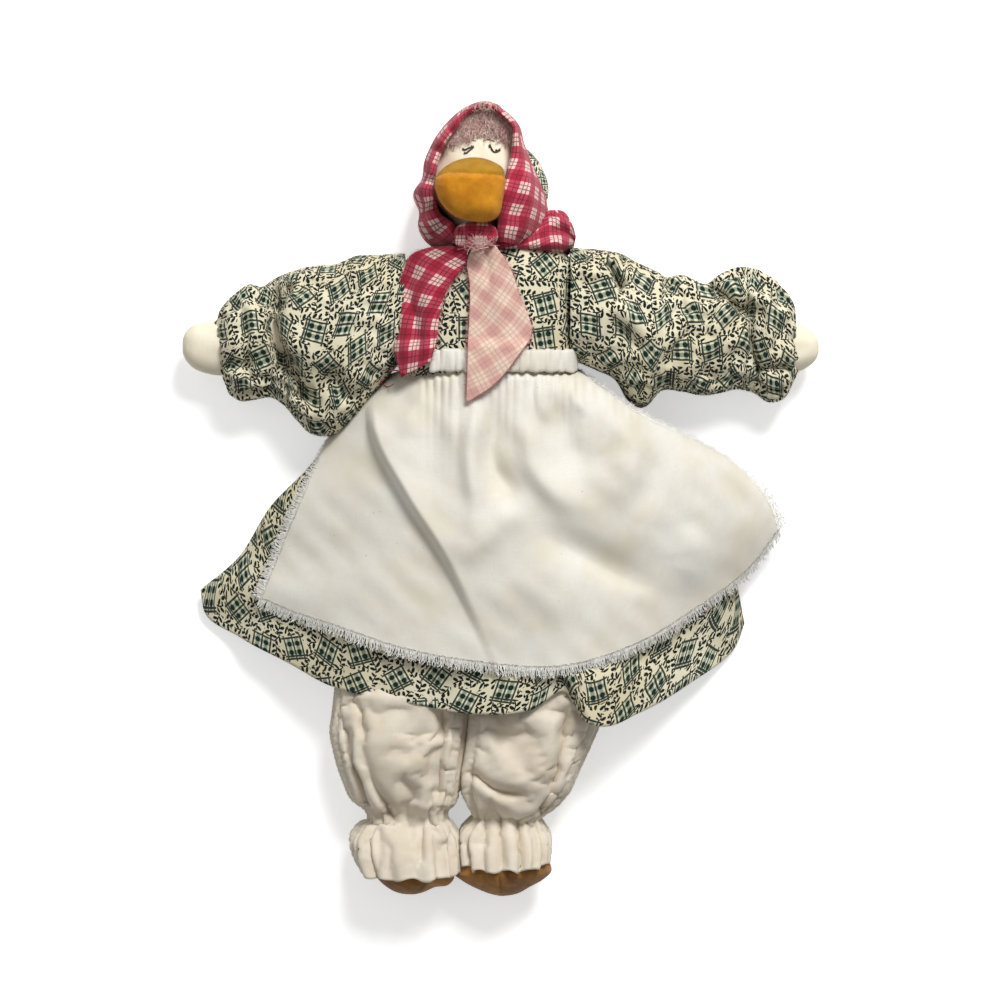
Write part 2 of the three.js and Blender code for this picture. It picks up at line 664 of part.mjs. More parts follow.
// Kerchief hood: a loose cap open at the neck and round the face.
const hoodStart = NECK + 4 * GAP;
const hoodKeys = [
  [0, 11, 24, 34, 24.5], [0.09, 8.5, 26, 37.5, 26.5], [0.25, 4.3, 28, 35.3, 28.5],
  [0.43, 1.5, 28.2, 32, 28.7], [0.64, 0.8, 28, 26.5, 28.5], [0.81, 1.3, 26, 20.5, 25],
  [0.94, 2, 25, 12.5, 17], [1, 2.4, 25, 4, 6],
].map(([share, across, depth, half, halfDepth]) => (
  [hoodStart + share * (HEAD_TOP - hoodStart), HEAD_X + across, depth, half, halfDepth]
));
const openingPoints = [
  [-14.8, 181], [-24.5, 167], [-28.8, 148], [-28.2, 131], [-29.5, NECK],
  [1.5, NECK], [-0.2, 131], [-0.2, 148], [2.8, 159], [4.4, 169], [0.5, 179],
];

function faceOpening() {
  const outline = new THREE.Shape(openingPoints.map(([x, y]) => new THREE.Vector2(x, y)));
  const depth = HEAD_DEPTH;
  return new THREE.ExtrudeGeometry(outline, { depth, bevelEnabled: false }).translate(0, 0, HEAD_REST + 8);
}

const hoodForm = { ...onFloor, points: GARMENT_RING };
add(head, 'kerchief_hood', cut(pouch('y', hoodKeys, CLOTH, hoodForm), faceOpening()), 'check');

// Frayed edge of the kerchief on the brow.
const fringeEdges = {
  near: curve([[HEAD_X - 2.5, HEAD_TOP - 11], [HEAD_X - 9.5, HEAD_TOP - 19]]),
  far: curve([[HEAD_X + 11, HEAD_TOP - 12.5], [HEAD_X + 13.4, HEAD_TOP - 19]]),
};
const fringe = grid(3, 6, (v, u) => {
  const { x, y } = fringeEdges.near.getPoint(v).lerp(fringeEdges.far.getPoint(v), u);
  return new THREE.Vector3(x, y, faceHeight(x, y) + 2 * GAP);
});
add(head, 'kerchief_fringe', sheet(fringe, 1.5 * CLOTH), 'checkReverse');

// Arms: a stuffed arm that ends in a wing tip, inside a full sleeve gathered at the wrist.
const armKeys = [
  [0.36, 82.5, 19.5, 11.5, 11], [0.6, 77, 19, 9, 8], [0.71, 75.5, 18.9, 7.5, 6.8],
  [0.8, 73.5, 18.2, 10, 8.5], [0.88, 72.7, 17.5, 12.4, 9.3], [0.95, 72.6, 16.5, 10, 7.5],
  [1, 72.5, 16, 2.8, 2.6],
];
const sleeveKeys = {
  left: [
    [0.03, 90.5, 27, 0], [0.14, 88, 28.5, 0], [0.26, 82, 32.5, 0.5], [0.38, 74.5, 38, 1],
    [0.51, 70.5, 37, 1], [0.67, 77, 27, 1], [0.79, 74.5, 25.5, 1.5], [0.86, 73.5, 20, 1],
    [0.93, 73, 22, 1.8], [1, 71.5, 19.5, 2],
  ],
  right: [
    [0.025, 91, 27, 0], [0.11, 88.5, 28, 0], [0.22, 82, 32, 0.5], [0.3, 79.5, 31.5, 1],
    [0.4, 78, 27.5, 1], [0.58, 76.5, 25.5, 1], [0.68, 79, 26, 1.5], [0.77, 79, 21, 1],
    [0.84, 78, 27, 1.8], [0.93, 73, 24, 2], [1, 71.5, 17.5, 1.5],
  ],
};

// Depth of a sleeve: full at the shoulder, drawn in at the gather and open at the wrist.
function sleeveDepth(share, wrist) {
  const taper = THREE.MathUtils.lerp(1, 0.85, share);
  const drawn = 0.25 * Math.exp(-(((share - wrist) / 0.06) ** 2));
  return 0.5 * SLEEVE_DEPTH * (taper - drawn) - (share > 0.98 ? 2 : 0);
}

for (const [side, direction] of [['left', -1], ['right', 1]]) {
  const arm = body(`${side}_arm`);
  const shoulder = BODY_X + direction * (BODICE_HALF + GAP);
  const tip = direction * FINGERTIP;
  const wrist = WRIST_SHARE[side];
  const seat = shoulder - direction * SLEEVE_SEAT;
  const armSections = armKeys.map(([share, ...rest]) => [THREE.MathUtils.lerp(seat, tip, share), ...rest]);
  const armRun = [armholeKey(seat, CLOTH + 2 * GAP), ...armSections];
  const sleeveSections = sleeveKeys[side].map(([share, across, half, gather]) => {
    const station = THREE.MathUtils.lerp(shoulder, tip, SLEEVE_SHARE[side] * share);
    return [station, across, sleeveRest - 2 * share, half, sleeveDepth(share, wrist) + 0.5, gather];
  });
  const sleeveRun = [armholeKey(seat, GAP), armholeKey(shoulder, GAP), ...sleeveSections];
  const wristKey = keyAt(sleeveSections, THREE.MathUtils.lerp(shoulder, tip, SLEEVE_SHARE[side] * wrist));
  add(arm, `${side}_sleeve`, shell('x', sleeveRun, CLOTH, sleeveForm), 'calico');
  add(arm, `${side}_wrist_elastic`, elastic('x', wristKey, CLOTH + 0.8, sleeveForm), 'elastic');
  const armForm = { points: GARMENT_RING };
  add(arm, `${side}_arm_cover`, pouch('x', armRun, COVER, armForm), 'muslin');
  add(arm, `${side}_arm_stuffing`, filling('x', armRun, COVER, armForm), 'stuffing');
}

// Legs: a stuffed leg in a pantaloon leg with a ruffled cuff, and a sewn foot below.
// Places across are from the middle of the dress, and shares run from hip to ankle to cuff.
const legX = { left: [-24, -31, -36.5, -37.5, -36.5], right: [16, 18, 15, 11, 9.5] };
const pantaloonKeys = {
  left: [
    [0, -24, 19.5, 0.98, 0], [0.217, -31, 25, 1, 0], [0.471, -39, 30, 1, 0.8], [0.662, -42, 31, 1, 1.2],
    [0.822, -39.5, 28.5, 0.94, 1.2], [0.93, -38.5, 23, 0.8, 1], [1, -38.5, 17, 0.75, 0.6],
    [1.26, -38, 21, 0.85, 1], [2, -37.5, 23.5, 1, 1.5],
  ],
  right: [
    [0, 16.5, 19.5, 0.98, 0], [0.217, 19, 22, 1, 0], [0.471, 23, 28, 1, 0.8], [0.662, 23.5, 29.5, 1, 1.2],
    [0.822, 19.5, 26.5, 0.94, 1.2], [0.93, 13.5, 20.5, 0.8, 1], [1, 11.3, 16, 0.75, 0.6],
    [1.3, 10.3, 18.5, 0.85, 1], [2, 10, 20.2, 1, 1.5],
  ],
};
const legKeys = [[0, 15, 14], [0.3, 14, 13], [0.7, 11.5, 11], [0.88, 8.5, 8.5], [1, 8, 8]];
const footKeys = [[0, 0.55, 0.62], [0.28, 0.9, 0.95], [0.6, 1, 1], [0.87, 0.75, 0.72], [1, 0.34, 0.34]];
const footRest = LEG_DEPTH / 2 - FOOT_REACH / 2; // height of the foot's heel
const legRest = LEG_DEPTH / 2 + 1;
const legFloor = { floor: (y) => (y > hemAt(0) - 5 ? skirtBase : 0), points: GARMENT_RING };

for (const side of ['left', 'right']) {
  const leg = body(`${side}_leg`);
  const down = (share) => (
    THREE.MathUtils.lerp(HIP, ANKLE, Math.min(share, 1))
    + Math.max(share - 1, 0) * (CUFF_END[side] - ANKLE)
  );
  const run = pantaloonKeys[side].map(([share, x, half, depth, gather]) => (
    [down(share), BODY_X + x, legRest, half, (depth * LEG_DEPTH) / 2, gather]
  ));
  const ankleKey = keyAt(run, ANKLE);
  const footMiddle = SOLE + FOOT_THICK / 2;
  const legEnd = SOLE + FOOT_THICK + GAP;
  const legRun = legKeys.map(([share, half, depth], i) => (
    [THREE.MathUtils.lerp(HIP - GAP, legEnd, share), BODY_X + legX[side][i], legRest, half, depth]
  ));
  const footRun = footKeys.map(([share, half, thick]) => [
    footRest + share * FOOT_REACH,
    FOOT_X[side],
    footMiddle,
    half * FOOT_HALF[side],
    (thick * FOOT_THICK) / 2,
  ]);
  const lens = { fullness: 1.5, points: 12 };
  const footHollow = loft('z', shorten(footRun, SUEDE, SUEDE), SUEDE, lens);
  const footCover = cut(loft('z', footRun, 0, lens), footHollow);
  const footSeam = [FOOT_X[side], footMiddle, 0];
  add(leg, `${side}_pantaloon_leg`, shell('y', shorten(run, GAP, 0), CLOTH, legFloor), 'pantaloons');
  add(leg, `${side}_ankle_elastic`, elastic('y', ankleKey, CLOTH, legFloor), 'elastic');
  add(leg, `${side}_leg_cover`, pouch('y', legRun, COVER), 'muslin');
  add(leg, `${side}_leg_stuffing`, filling('y', legRun, COVER), 'stuffing');
  add(leg, `${side}_foot_upper`, halfOf(footCover, footSeam, FOOT_TILT[side], 1), 'suede');
  add(leg, `${side}_foot_sole`, halfOf(footCover, footSeam, FOOT_TILT[side], -1), 'suede');
  const padRun = shorten(footRun, SUEDE + GAP, SUEDE + GAP);
  add(leg, `${side}_foot_stuffing`, loft('z', padRun, SUEDE + GAP, lens), 'stuffing');
}

export default doll;
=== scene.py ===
"""Looks of the cloth duck doll over its CAD frame. The frame is in metres, lengths here in millimetres."""

import math

import bmesh
import bpy
import numpy as np
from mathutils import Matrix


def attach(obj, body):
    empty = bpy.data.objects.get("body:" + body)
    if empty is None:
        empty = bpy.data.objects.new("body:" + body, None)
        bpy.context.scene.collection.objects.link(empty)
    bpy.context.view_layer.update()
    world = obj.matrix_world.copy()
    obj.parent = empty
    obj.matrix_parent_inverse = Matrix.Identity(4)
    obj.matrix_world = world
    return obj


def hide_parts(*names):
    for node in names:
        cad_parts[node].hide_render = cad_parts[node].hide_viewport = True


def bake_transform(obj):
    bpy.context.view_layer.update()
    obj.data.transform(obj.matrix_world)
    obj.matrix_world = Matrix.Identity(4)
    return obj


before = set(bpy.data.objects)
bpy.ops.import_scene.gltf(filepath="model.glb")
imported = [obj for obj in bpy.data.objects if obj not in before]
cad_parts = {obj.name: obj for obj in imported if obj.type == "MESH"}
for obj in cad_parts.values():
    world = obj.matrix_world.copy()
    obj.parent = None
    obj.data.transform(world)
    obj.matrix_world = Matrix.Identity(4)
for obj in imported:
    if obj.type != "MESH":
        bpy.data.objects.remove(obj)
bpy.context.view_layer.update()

MM = 0.001
CLOTH = 0.7  # thickness of the dress cloth
THIN = 0.5  # of the skirt's back and the apron
KERCHIEF = 0.6
FLANNEL = 0.9
FLOOR_GAP = 1.1  # least height of a tube's cloth, that is thickened outward
FULL = 2.4  # roundness of a section: 2 is an ellipse
SEED = 11

# Where a piece leaves the torso, and where it has come over to the limb
SKIRT_BEND = (-11, 8, 41), (-11, -36, 41)
LEG_BEND = (-11, 4, 41), (-11, -26, 41)
HOOD_BEND = (-11, 114, 46), (-11, 140, 46)
KNOT_BEND = (-11, 116, 46), (-11, 130, 46)
SLEEVE_BEND = {"left": ((-50, 91, 43), (-78, 91, 43)), "right": ((36, 91, 43), (64, 91, 43))}


# Curves and folds


def smooth(value):
    value = np.clip(value, 0, 1)
    return value * value * (3 - 2 * value)


def rounded(value, fullness):
    return np.sign(value) * np.abs(value) ** (2 / fullness)


def run_along(points):
    """Distance run along a line of points."""
    return np.r_[0, np.cumsum(np.linalg.norm(np.diff(points, axis=0), axis=1))]


def chain(points, count):
    """Evenly spaced points on a smooth curve through the given ones."""
    points = np.asarray(points, float)
    place = run_along(points[:, :2])
    fine = np.linspace(0, place[-1], 12 * len(points))
    path = along(points, place, fine)
    run = run_along(path[:, :2])
    return along(points, place, np.interp(np.linspace(0, run[-1], count), run, fine))


def along(values, place, wanted):
    """Smooth values at the wanted places, through the given values at theirs."""
    values = np.asarray(values, float)
    slope = np.gradient(values, place, axis=0)
    k = np.clip(np.searchsorted(place, wanted, side="right") - 1, 0, len(place) - 2)
    span = (place[k + 1] - place[k])[:, None]
    t = ((wanted - place[k])[:, None]) / span
    a, b = values[k], values[k + 1]
    ease = t * t * (3 - 2 * t)
    leave = t * (1 - t) ** 2 * span * slope[k]
    arrive = t * t * (t - 1) * span * slope[k + 1]
    return a + (b - a) * ease + leave + arrive


def from_path(x, y, path):
    """Distance from a path in plan, positive to its left, and the share along it."""
    line = chain(path, 8 * len(path))
    start, step = line[:-1], np.diff(line, axis=0)
    best = np.full(np.shape(x), np.inf)
    side, share = np.zeros(np.shape(x)), np.zeros(np.shape(x))
    for i, ((px, py), (dx, dy)) in enumerate(zip(start, step)):
        t = np.clip(((x - px) * dx + (y - py) * dy) / (dx * dx + dy * dy), 0, 1)
        ox, oy = x - px - t * dx, y - py - t * dy
        distance = np.hypot(ox, oy)
        nearer = distance < best
        best = np.where(nearer, distance, best)
        side = np.where(nearer, np.sign(dx * oy - dy * ox), side)
        share = np.where(nearer, (i + t) / len(step), share)
    return best * side, share


def fold(x, y, path, height, left, right, fade):
    """A ridge, or with a negative height a crease, along a path, as wide as given on each side."""
    distance, share = from_path(x, y, path)
    width = np.where(distance > 0, left, right)
    ends = smooth(share / fade[0]) * smooth((1 - share) / fade[1])
    return height * ends * np.exp(-((distance / width) ** 2))


def add_folds(x, y, z, folds, weight=1, fade=(0.2, 0.2), deeper=1, narrower=1):
    """Adds folds to the heights z in place. Each is a path, a height and the widths of its two sides."""
    for path, height, left, right in folds:
        z += weight * fold(x, y, path, deeper * height, narrower * left, narrower * right, fade)


def wrinkles(x, y, size, seed, waves=8):
    """Soft irregular waves of about that size."""
    dice = np.random.default_rng(seed)
    total = np.zeros(np.shape(x))
    for angle, phase, scale in dice.random((waves, 3)) * (math.pi, 2 * math.pi, 1):
        reach = size * (0.7 + scale)
        across = x * math.cos(angle) + y * math.sin(angle)
        total += np.sin(2 * math.pi * across / reach + phase)
    return total / math.sqrt(waves)


def fall(share, shoulder):
    """Cloth that falls from a crest, 1, to the floor, 0."""
    return np.cos(math.pi / 2 * np.clip(np.abs(share), 0, 1) ** shoulder) ** 2


# Meshes


def linked(name, data):
    """A new object of that data, in the scene."""
    obj = bpy.data.objects.new(name, data)
    bpy.context.scene.collection.objects.link(obj)
    return obj


def mesh_of(name, corners, faces, uv, look):
    """An object of corners in millimetres, with a cloth plane in millimetres for each face corner."""
    mesh = bpy.data.meshes.new(name)
    mesh.from_pydata(np.asarray(corners) * MM, [], [tuple(face) for face in faces])
    layer = mesh.uv_layers.new(name="cloth")
    layer.data.foreach_set("uv", np.asarray(uv, np.float32).ravel())
    mesh.polygons.foreach_set("use_smooth", np.ones(len(mesh.polygons), bool))
    mesh.materials.append(look)
    mesh.update()
    return linked(name, mesh)


def grid(*coordinates):
    """Grid of points from the grids of their coordinates."""
    return np.stack(coordinates, axis=2)


def run_lengths(points, axis):
    """Distance run along one direction of a grid of points."""
    steps = np.linalg.norm(np.diff(points, axis=axis), axis=2)
    zero = np.zeros_like(np.take(steps, [0], axis=axis))
    return np.concatenate([zero, np.cumsum(steps, axis=axis)], axis=axis)


def cloth_plane(points, middle):
    """Each grid point's place in the flat cloth: along the middle column and out from it."""
    down = run_lengths(points, 0)[:, middle]
    across = run_lengths(points, 1)
    across = across - across[:, [middle]]
    return grid(across, np.repeat(down[:, None], points.shape[1], axis=1))


def grid_faces(rows, columns, wide):
    """Quads of a grid of corners, and the same quads in a grid that is wider by the seam."""
    r, c = np.meshgrid(np.arange(rows - 1), np.arange(wide - 1), indexing="ij")
    ring = [(r, c), (r + 1, c), (r + 1, c + 1), (r, c + 1)]
    faces = np.stack([(a * columns + b % columns).ravel() for a, b in ring], axis=1)
    places = np.stack([(a * wide + b).ravel() for a, b in ring], axis=1)
    return faces, places


def surface(name, points, look, middle=None, closed=False, plane=None):
    """A mesh over a grid of points, joined round its columns if closed."""
    rows, columns = points.shape[:2]
    wrapped = np.concatenate([points, points[:, :1]], axis=1) if closed else points
    middle = columns // 2 if middle is None else middle
    plane = cloth_plane(wrapped, middle) if plane is None else plane
    faces, places = grid_faces(rows, columns, wrapped.shape[1])
    uv = plane.reshape(-1, 2)[places.ravel()]
    return mesh_of(name, points.reshape(-1, 3), faces, uv, look)


def applied(obj, kind, **settings):
    """Puts a modifier on the object and keeps its result."""
    modifier = obj.modifiers.new(kind.lower(), kind)
    for key, value in settings.items():
        setattr(modifier, key, value)
    bpy.context.view_layer.update()
    shaped = obj.evaluated_get(bpy.context.evaluated_depsgraph_get())
    mesh = bpy.data.meshes.new_from_object(shaped)
    obj.modifiers.clear()
    old, obj.data = obj.data, mesh
    bpy.data.meshes.remove(old)
    return obj


def thicken(obj, thickness, offset=-1):
    return applied(obj, "SOLIDIFY", thickness=thickness * MM, offset=offset)


def welded(obj):
    """Joins the corners that lie on each other."""
    return applied(obj, "WELD", merge_threshold=1e-6)


def capped(points):
    """Draws the last row of a closed grid to its middle, so that the form is shut there."""
    last = points[-1:].mean(axis=1, keepdims=True)
    return np.concatenate([points, np.repeat(last, points.shape[1], axis=1)], axis=0)


def threads(name, paths, look, radius, sides=4):
    """Many thin threads, each along its own points, as one mesh."""
    corners, faces, uv = [], [], []
    for path in paths:
        count, start = len(path), len(corners)
        aim = np.gradient(path, axis=0)
        aim /= np.linalg.norm(aim, axis=1, keepdims=True) + 1e-9
        side = np.cross(aim, (0.31, 0.2, 0.93))
        side /= np.linalg.norm(side, axis=1, keepdims=True) + 1e-9
        up = np.cross(side, aim)
        taper = np.linspace(1, 0.55, count)[:, None] * radius
        for k in range(sides):
            turn = 2 * math.pi * k / sides
            corners.extend(path + taper * (math.cos(turn) * side + math.sin(turn) * up))
        for k in range(sides):
            first, second = start + k * count, start + (k + 1) % sides * count
            for i in range(count - 1):
                faces.append((first + i, first + i + 1, second + i + 1, second + i))
                uv.extend([(k, i), (k, i + 1), (k + 1, i + 1), (k + 1, i)])
        faces.append([start + k * count for k in reversed(range(sides))])
        faces.append([start + k * count + count - 1 for k in range(sides)])
        uv.extend([(k, 0) for k in range(2 * sides)])
    return mesh_of(name, corners, faces, uv, look)


# Materials


def colour(red, green, blue):
    """A colour written as on a screen, in the linear light that a shader takes."""
    share = np.array([red, green, blue]) / 255
    linear = np.where(share <= 0.04045, share / 12.92, ((share + 0.055) / 1.055) ** 2.4)
    return (*linear, 1.0)


def operation(kind):
    """A method of a signal that does one kind of arithmetic with it and with others."""

    def method(self, *others):
        return self.look.node("ShaderNodeMath", [self, *others], operation=kind)

    return method


class Signal:
    """A number in a material, with the usual arithmetic."""

    __add__ = operation("ADD")
    __sub__ = operation("SUBTRACT")
    __mul__ = operation("MULTIPLY")
    __truediv__ = operation("DIVIDE")
    __abs__ = operation("ABSOLUTE")
    __lt__ = operation("LESS_THAN")
    __gt__ = operation("GREATER_THAN")
    power = operation("POWER")
    floor = operation("FLOOR")
    modulo = operation("FLOORED_MODULO")
    sin = operation("SINE")
    cos = operation("COSINE")
    or_ = operation("MAXIMUM")
    and_ = operation("MINIMUM")

    def __init__(self, look, socket):
        self.look = look
        self.socket = socket


class Look:
    """One material, worked out on the plane of the flat cloth in millimetres."""

    def __init__(self, name, roughness, sheen=0.0, specular=0.25):
        self.material = bpy.data.materials.new(name)
        self.material.use_nodes = True
        self.tree = self.material.node_tree
        self.shader = self.tree.nodes["Principled BSDF"]
        for key, value in {
            "Roughness": roughness,
            "Specular IOR Level": specular,
            "Sheen Weight": sheen,
            "Sheen Roughness": 0.6,
        }.items():
            self.shader.inputs[key].default_value = value
        place = self.tree.nodes.new("ShaderNodeUVMap")
        place.uv_map = "cloth"
        parts = self.tree.nodes.new("ShaderNodeSeparateXYZ")
        self.tree.links.new(place.outputs["UV"], parts.inputs[0])
        self.u = Signal(self, parts.outputs["X"])
        self.v = Signal(self, parts.outputs["Y"])

    def node(self, kind, inputs, output=0, **settings):
        node = self.tree.nodes.new(kind)
        for key, value in settings.items():
            setattr(node, key, value)
        pairs = inputs.items() if isinstance(inputs, dict) else enumerate(inputs)
        for key, value in pairs:
            if isinstance(value, Signal):
                self.tree.links.new(value.socket, node.inputs[key])
            else:
                node.inputs[key].default_value = value
        return Signal(self, node.outputs[output])

    def vector(self, x, y, z=0.0):
        return self.node("ShaderNodeCombineXYZ", [x, y, z])

    def noise(self, scale, detail=2.0, roughness=0.5, stretch=(1, 1), warp=0.0):
        """Cloudy values about 0.5, that many to the millimetre."""
        place = self.vector(self.u * stretch[0], self.v * stretch[1])
        inputs = {"Scale": scale, "Detail": detail, "Roughness": roughness, "Distortion": warp}
        return self.node("ShaderNodeTexNoise", {"Vector": place, **inputs}, "Fac")

    def chance(self, x, y, seed):
        """A random value from 0 to 1 for each cell."""
        return self.node("ShaderNodeTexWhiteNoise", {"Vector": self.vector(x, y, seed)}, "Value")

    def mix(self, share, *ends):
        """From the first to the second of two colours, written as on a screen or worked out before."""
        first, second = (end if isinstance(end, Signal) else colour(*end) for end in ends)
        inputs = {"Factor": share, 6: first, 7: second}
        return self.node("ShaderNodeMix", inputs, 2, data_type="RGBA")

    def ramp(self, value, low, high):
        """From 0 at low to 1 at high."""
        inputs = {"Value": value, "From Min": low, "From Max": high}
        return self.node("ShaderNodeMapRange", inputs, interpolation_type="SMOOTHSTEP")

    def weave(self, pitch):
        """Height of a plain weave of that pitch."""
        turn = 2 * math.pi / pitch
        return (self.u * turn).sin() * (self.v * turn).sin()

    def finish(self, base, height, depth):
        """Sets the colour and a relief of that depth in millimetres."""
        self.tree.links.new(base.socket, self.shader.inputs["Base Color"])
        relief = self.node("ShaderNodeBump", {"Height": height, "Strength": 1.0, "Distance": depth * MM})
        self.tree.links.new(relief.socket, self.shader.inputs["Normal"])
        return self.material


def plain_cloth(name, light, shade, pitch, depth, roughness=0.9, sheen=0.1, blotch=0.03, speck=0.0):
    """Plain woven cloth, a little uneven in colour, with slubs and perhaps specks."""
    look = Look(name, roughness, sheen)
    tone = look.ramp(look.noise(blotch, 4.0, 0.6), 0.35, 0.7)
    slub = look.noise(1.2, 2.0, 0.6, stretch=(1, 0.12)) + look.noise(1.2, 2.0, 0.6, stretch=(0.12, 1))
    base = look.mix(tone, light, shade)
    base = look.mix(look.ramp(slub, 0.9, 1.3) * 0.35, base, shade)
    if speck:
        dot = look.noise(0.55, 1.0, 0.4) > 1 - speck
        base = look.mix(dot * 0.6, base, (120, 100, 70))
    height = look.weave(pitch) * 0.5 + slub * 0.8
    return look.finish(base, height, depth)


def turned(x, y, angle):
    """Coordinates turned by an angle."""
    c, s = angle.cos(), angle.sin()
    return x * c + y * s, y * c - x * s


PRINT_CELL, PRINT_STAGGER, PRINT_STRAY = 18.0, 0.37, 3.0


def patch_place(look, u, v):
    """Place in the cloth from the middle of the printed plaid square of its cell, and the cell."""
    column = (u / PRINT_CELL).floor()
    shifted = v + column * (PRINT_STAGGER * PRINT_CELL)
    row = (shifted / PRINT_CELL).floor()
    x = u - (column + 0.5) * PRINT_CELL - (look.chance(column, row, 1) - 0.5) * PRINT_STRAY
    y = shifted - (row + 0.5) * PRINT_CELL - (look.chance(column, row, 2) - 0.5) * PRINT_STRAY
    return x, y, look.chance(column, row, 3) - 0.5


def any_of(marks):
    """1 where any of the marks is."""
    whole = marks[0]
    for mark in marks[1:]:
        whole = whole.or_(mark)
    return whole


def calico(name):
    """Cream cotton printed with small plaid squares and leafy sprigs between them."""
    look = Look(name, 0.85, 0.05)
    x, y, tilt = patch_place(look, look.u, look.v)
    p, q = turned(x, y, tilt * 1.5)
    reach = any_of([abs(p), abs(q)])
    upright = [abs(p - at) < 0.45 for at in (-4.7, 0.0, 4.7)]
    level = [abs(q - at) < 0.45 for at in (-4.9, 3.7, 5.0)]
    lines = any_of(upright + level).and_(reach < 6.2)
    column, row = abs(abs(p) - 2.3), abs(abs(q) - 2.0)
    dot = (column.power(2) + row.power(2)) < 1.6
    tint = (column < 1.05).or_(row < 0.95).and_(reach < 5.0)

    size = 5.9
    column, row = (look.u / size).floor(), (look.v / size).floor()
    middle_u = (column + 0.5) * size + (look.chance(column, row, 4) - 0.5) * 1.2
    middle_v = (row + 0.5) * size + (look.chance(column, row, 5) - 0.5) * 1.2
    far_x, far_y, _ = patch_place(look, middle_u, middle_v)
    clear = ((far_x * far_x + far_y * far_y) > 34.0).and_(reach > 5.9)
    a, b = turned(look.u - middle_u, look.v - middle_v, look.chance(column, row, 6) * (2 * math.pi))
    b = b - a * a * (look.chance(column, row, 7) - 0.5) * 0.34
    long = look.chance(column, row, 8) * 1.2 + 2.3
    stem = (abs(b) < 0.32).and_(abs(a) < long)
    pitch = 2.75
    lean = (a - abs(b) * 0.55 + (b > 0.0) * (pitch / 2)).modulo(pitch) - pitch / 2
    leaf = ((lean / 0.88).power(2) + ((abs(b) - 1.5) / 1.25).power(2)) < 1.0
    sprig = stem.or_(leaf.and_(abs(a) < long)).and_(clear)

    tone = look.ramp(look.noise(0.02, 3.0), 0.3, 0.75)
    base = look.mix(tone, (232, 226, 200), (220, 209, 174))
    base = look.mix(tint * 0.75, base, (104, 130, 110))
    base = look.mix(sprig, base, (16, 26, 18))
    base = look.mix(lines * 0.95, base, (14, 34, 28))
    base = look.mix(dot, base, (10, 34, 28))
    height = look.weave(0.45) * 0.5 + look.noise(1.5, 2.0, 0.6) * 0.6
    return look.finish(base, height, 0.07)


def check(name, ground, half_tone, crossing, dark, turn, faded=0.0):
    """Woven check: pale bands in pairs cross on a ground, with thin dark threads between them."""
    look = Look(name, 0.85, 0.15)
    repeat = 11.5
    pale, thin = [], []
    c, s = math.cos(turn), math.sin(turn)
    for run in (look.u * c + look.v * s, look.v * c - look.u * s):
        place = run.modulo(repeat)
        pale.append(abs(place - 8.3) < 2.9)
        thin.append((abs(abs(place - 8.3) - 1.0) < 0.27).or_(abs(place - 2.6) < 0.22))
    count = pale[0] + pale[1]
    base = look.mix(count > 0.5, ground, half_tone)
    base = look.mix(count > 1.5, base, crossing)
    base = look.mix((thin[0].or_(thin[1])) * (0.75 - faded), base, dark)
    thread = look.noise(2.2, 2.0, 0.6, stretch=(1, 0.15)) * look.noise(2.2, 2.0, 0.6, stretch=(0.15, 1))
    base = look.mix(look.ramp(thread, 0.2, 0.5) * 0.3, base, half_tone)
    height = look.weave(0.5) * 0.6 + look.noise(1.3, 2.0) * 0.6
    return look.finish(base, height, 0.08)


def felt(name, light, shade):
    """Felt: matted fibres, lighter and darker in patches."""
    look = Look(name, 0.95, 0.08, 0.15)
    fibre = look.noise(2.6, 3.0, 0.7, stretch=(1, 0.35), warp=1.5)
    fuzz = look.noise(1.6, 4.0, 0.7, stretch=(0.4, 1), warp=2.0)
    patch = look.noise(0.12, 3.0, 0.6)
    base = look.mix(look.ramp(patch + fibre * 0.5, 0.55, 1.0), light, shade)
    return look.finish(base, fibre + fuzz, 0.4)


def suede(name, light, shade):
    """Suede: a fine nap that is brushed into lighter and darker clouds."""
    look = Look(name, 0.95, 0.3, 0.2)
    cloud = look.noise(0.09, 4.0, 0.65, warp=0.6)
    nap = look.noise(3.2, 3.0, 0.7)
    base = look.mix(look.ramp(cloud + nap * 0.25, 0.45, 0.85), shade, light)
    return look.finish(base, nap, 0.16)


def thread_look(name, light, shade):
    """Loose thread, twisted and uneven in colour."""
    look = Look(name, 0.9, 0.2)
    twist = (look.u * 1.6 + look.v * 2.1).sin()
    base = look.mix(look.noise(0.7, 2.0), light, shade)
    return look.finish(base, twist, 0.03)


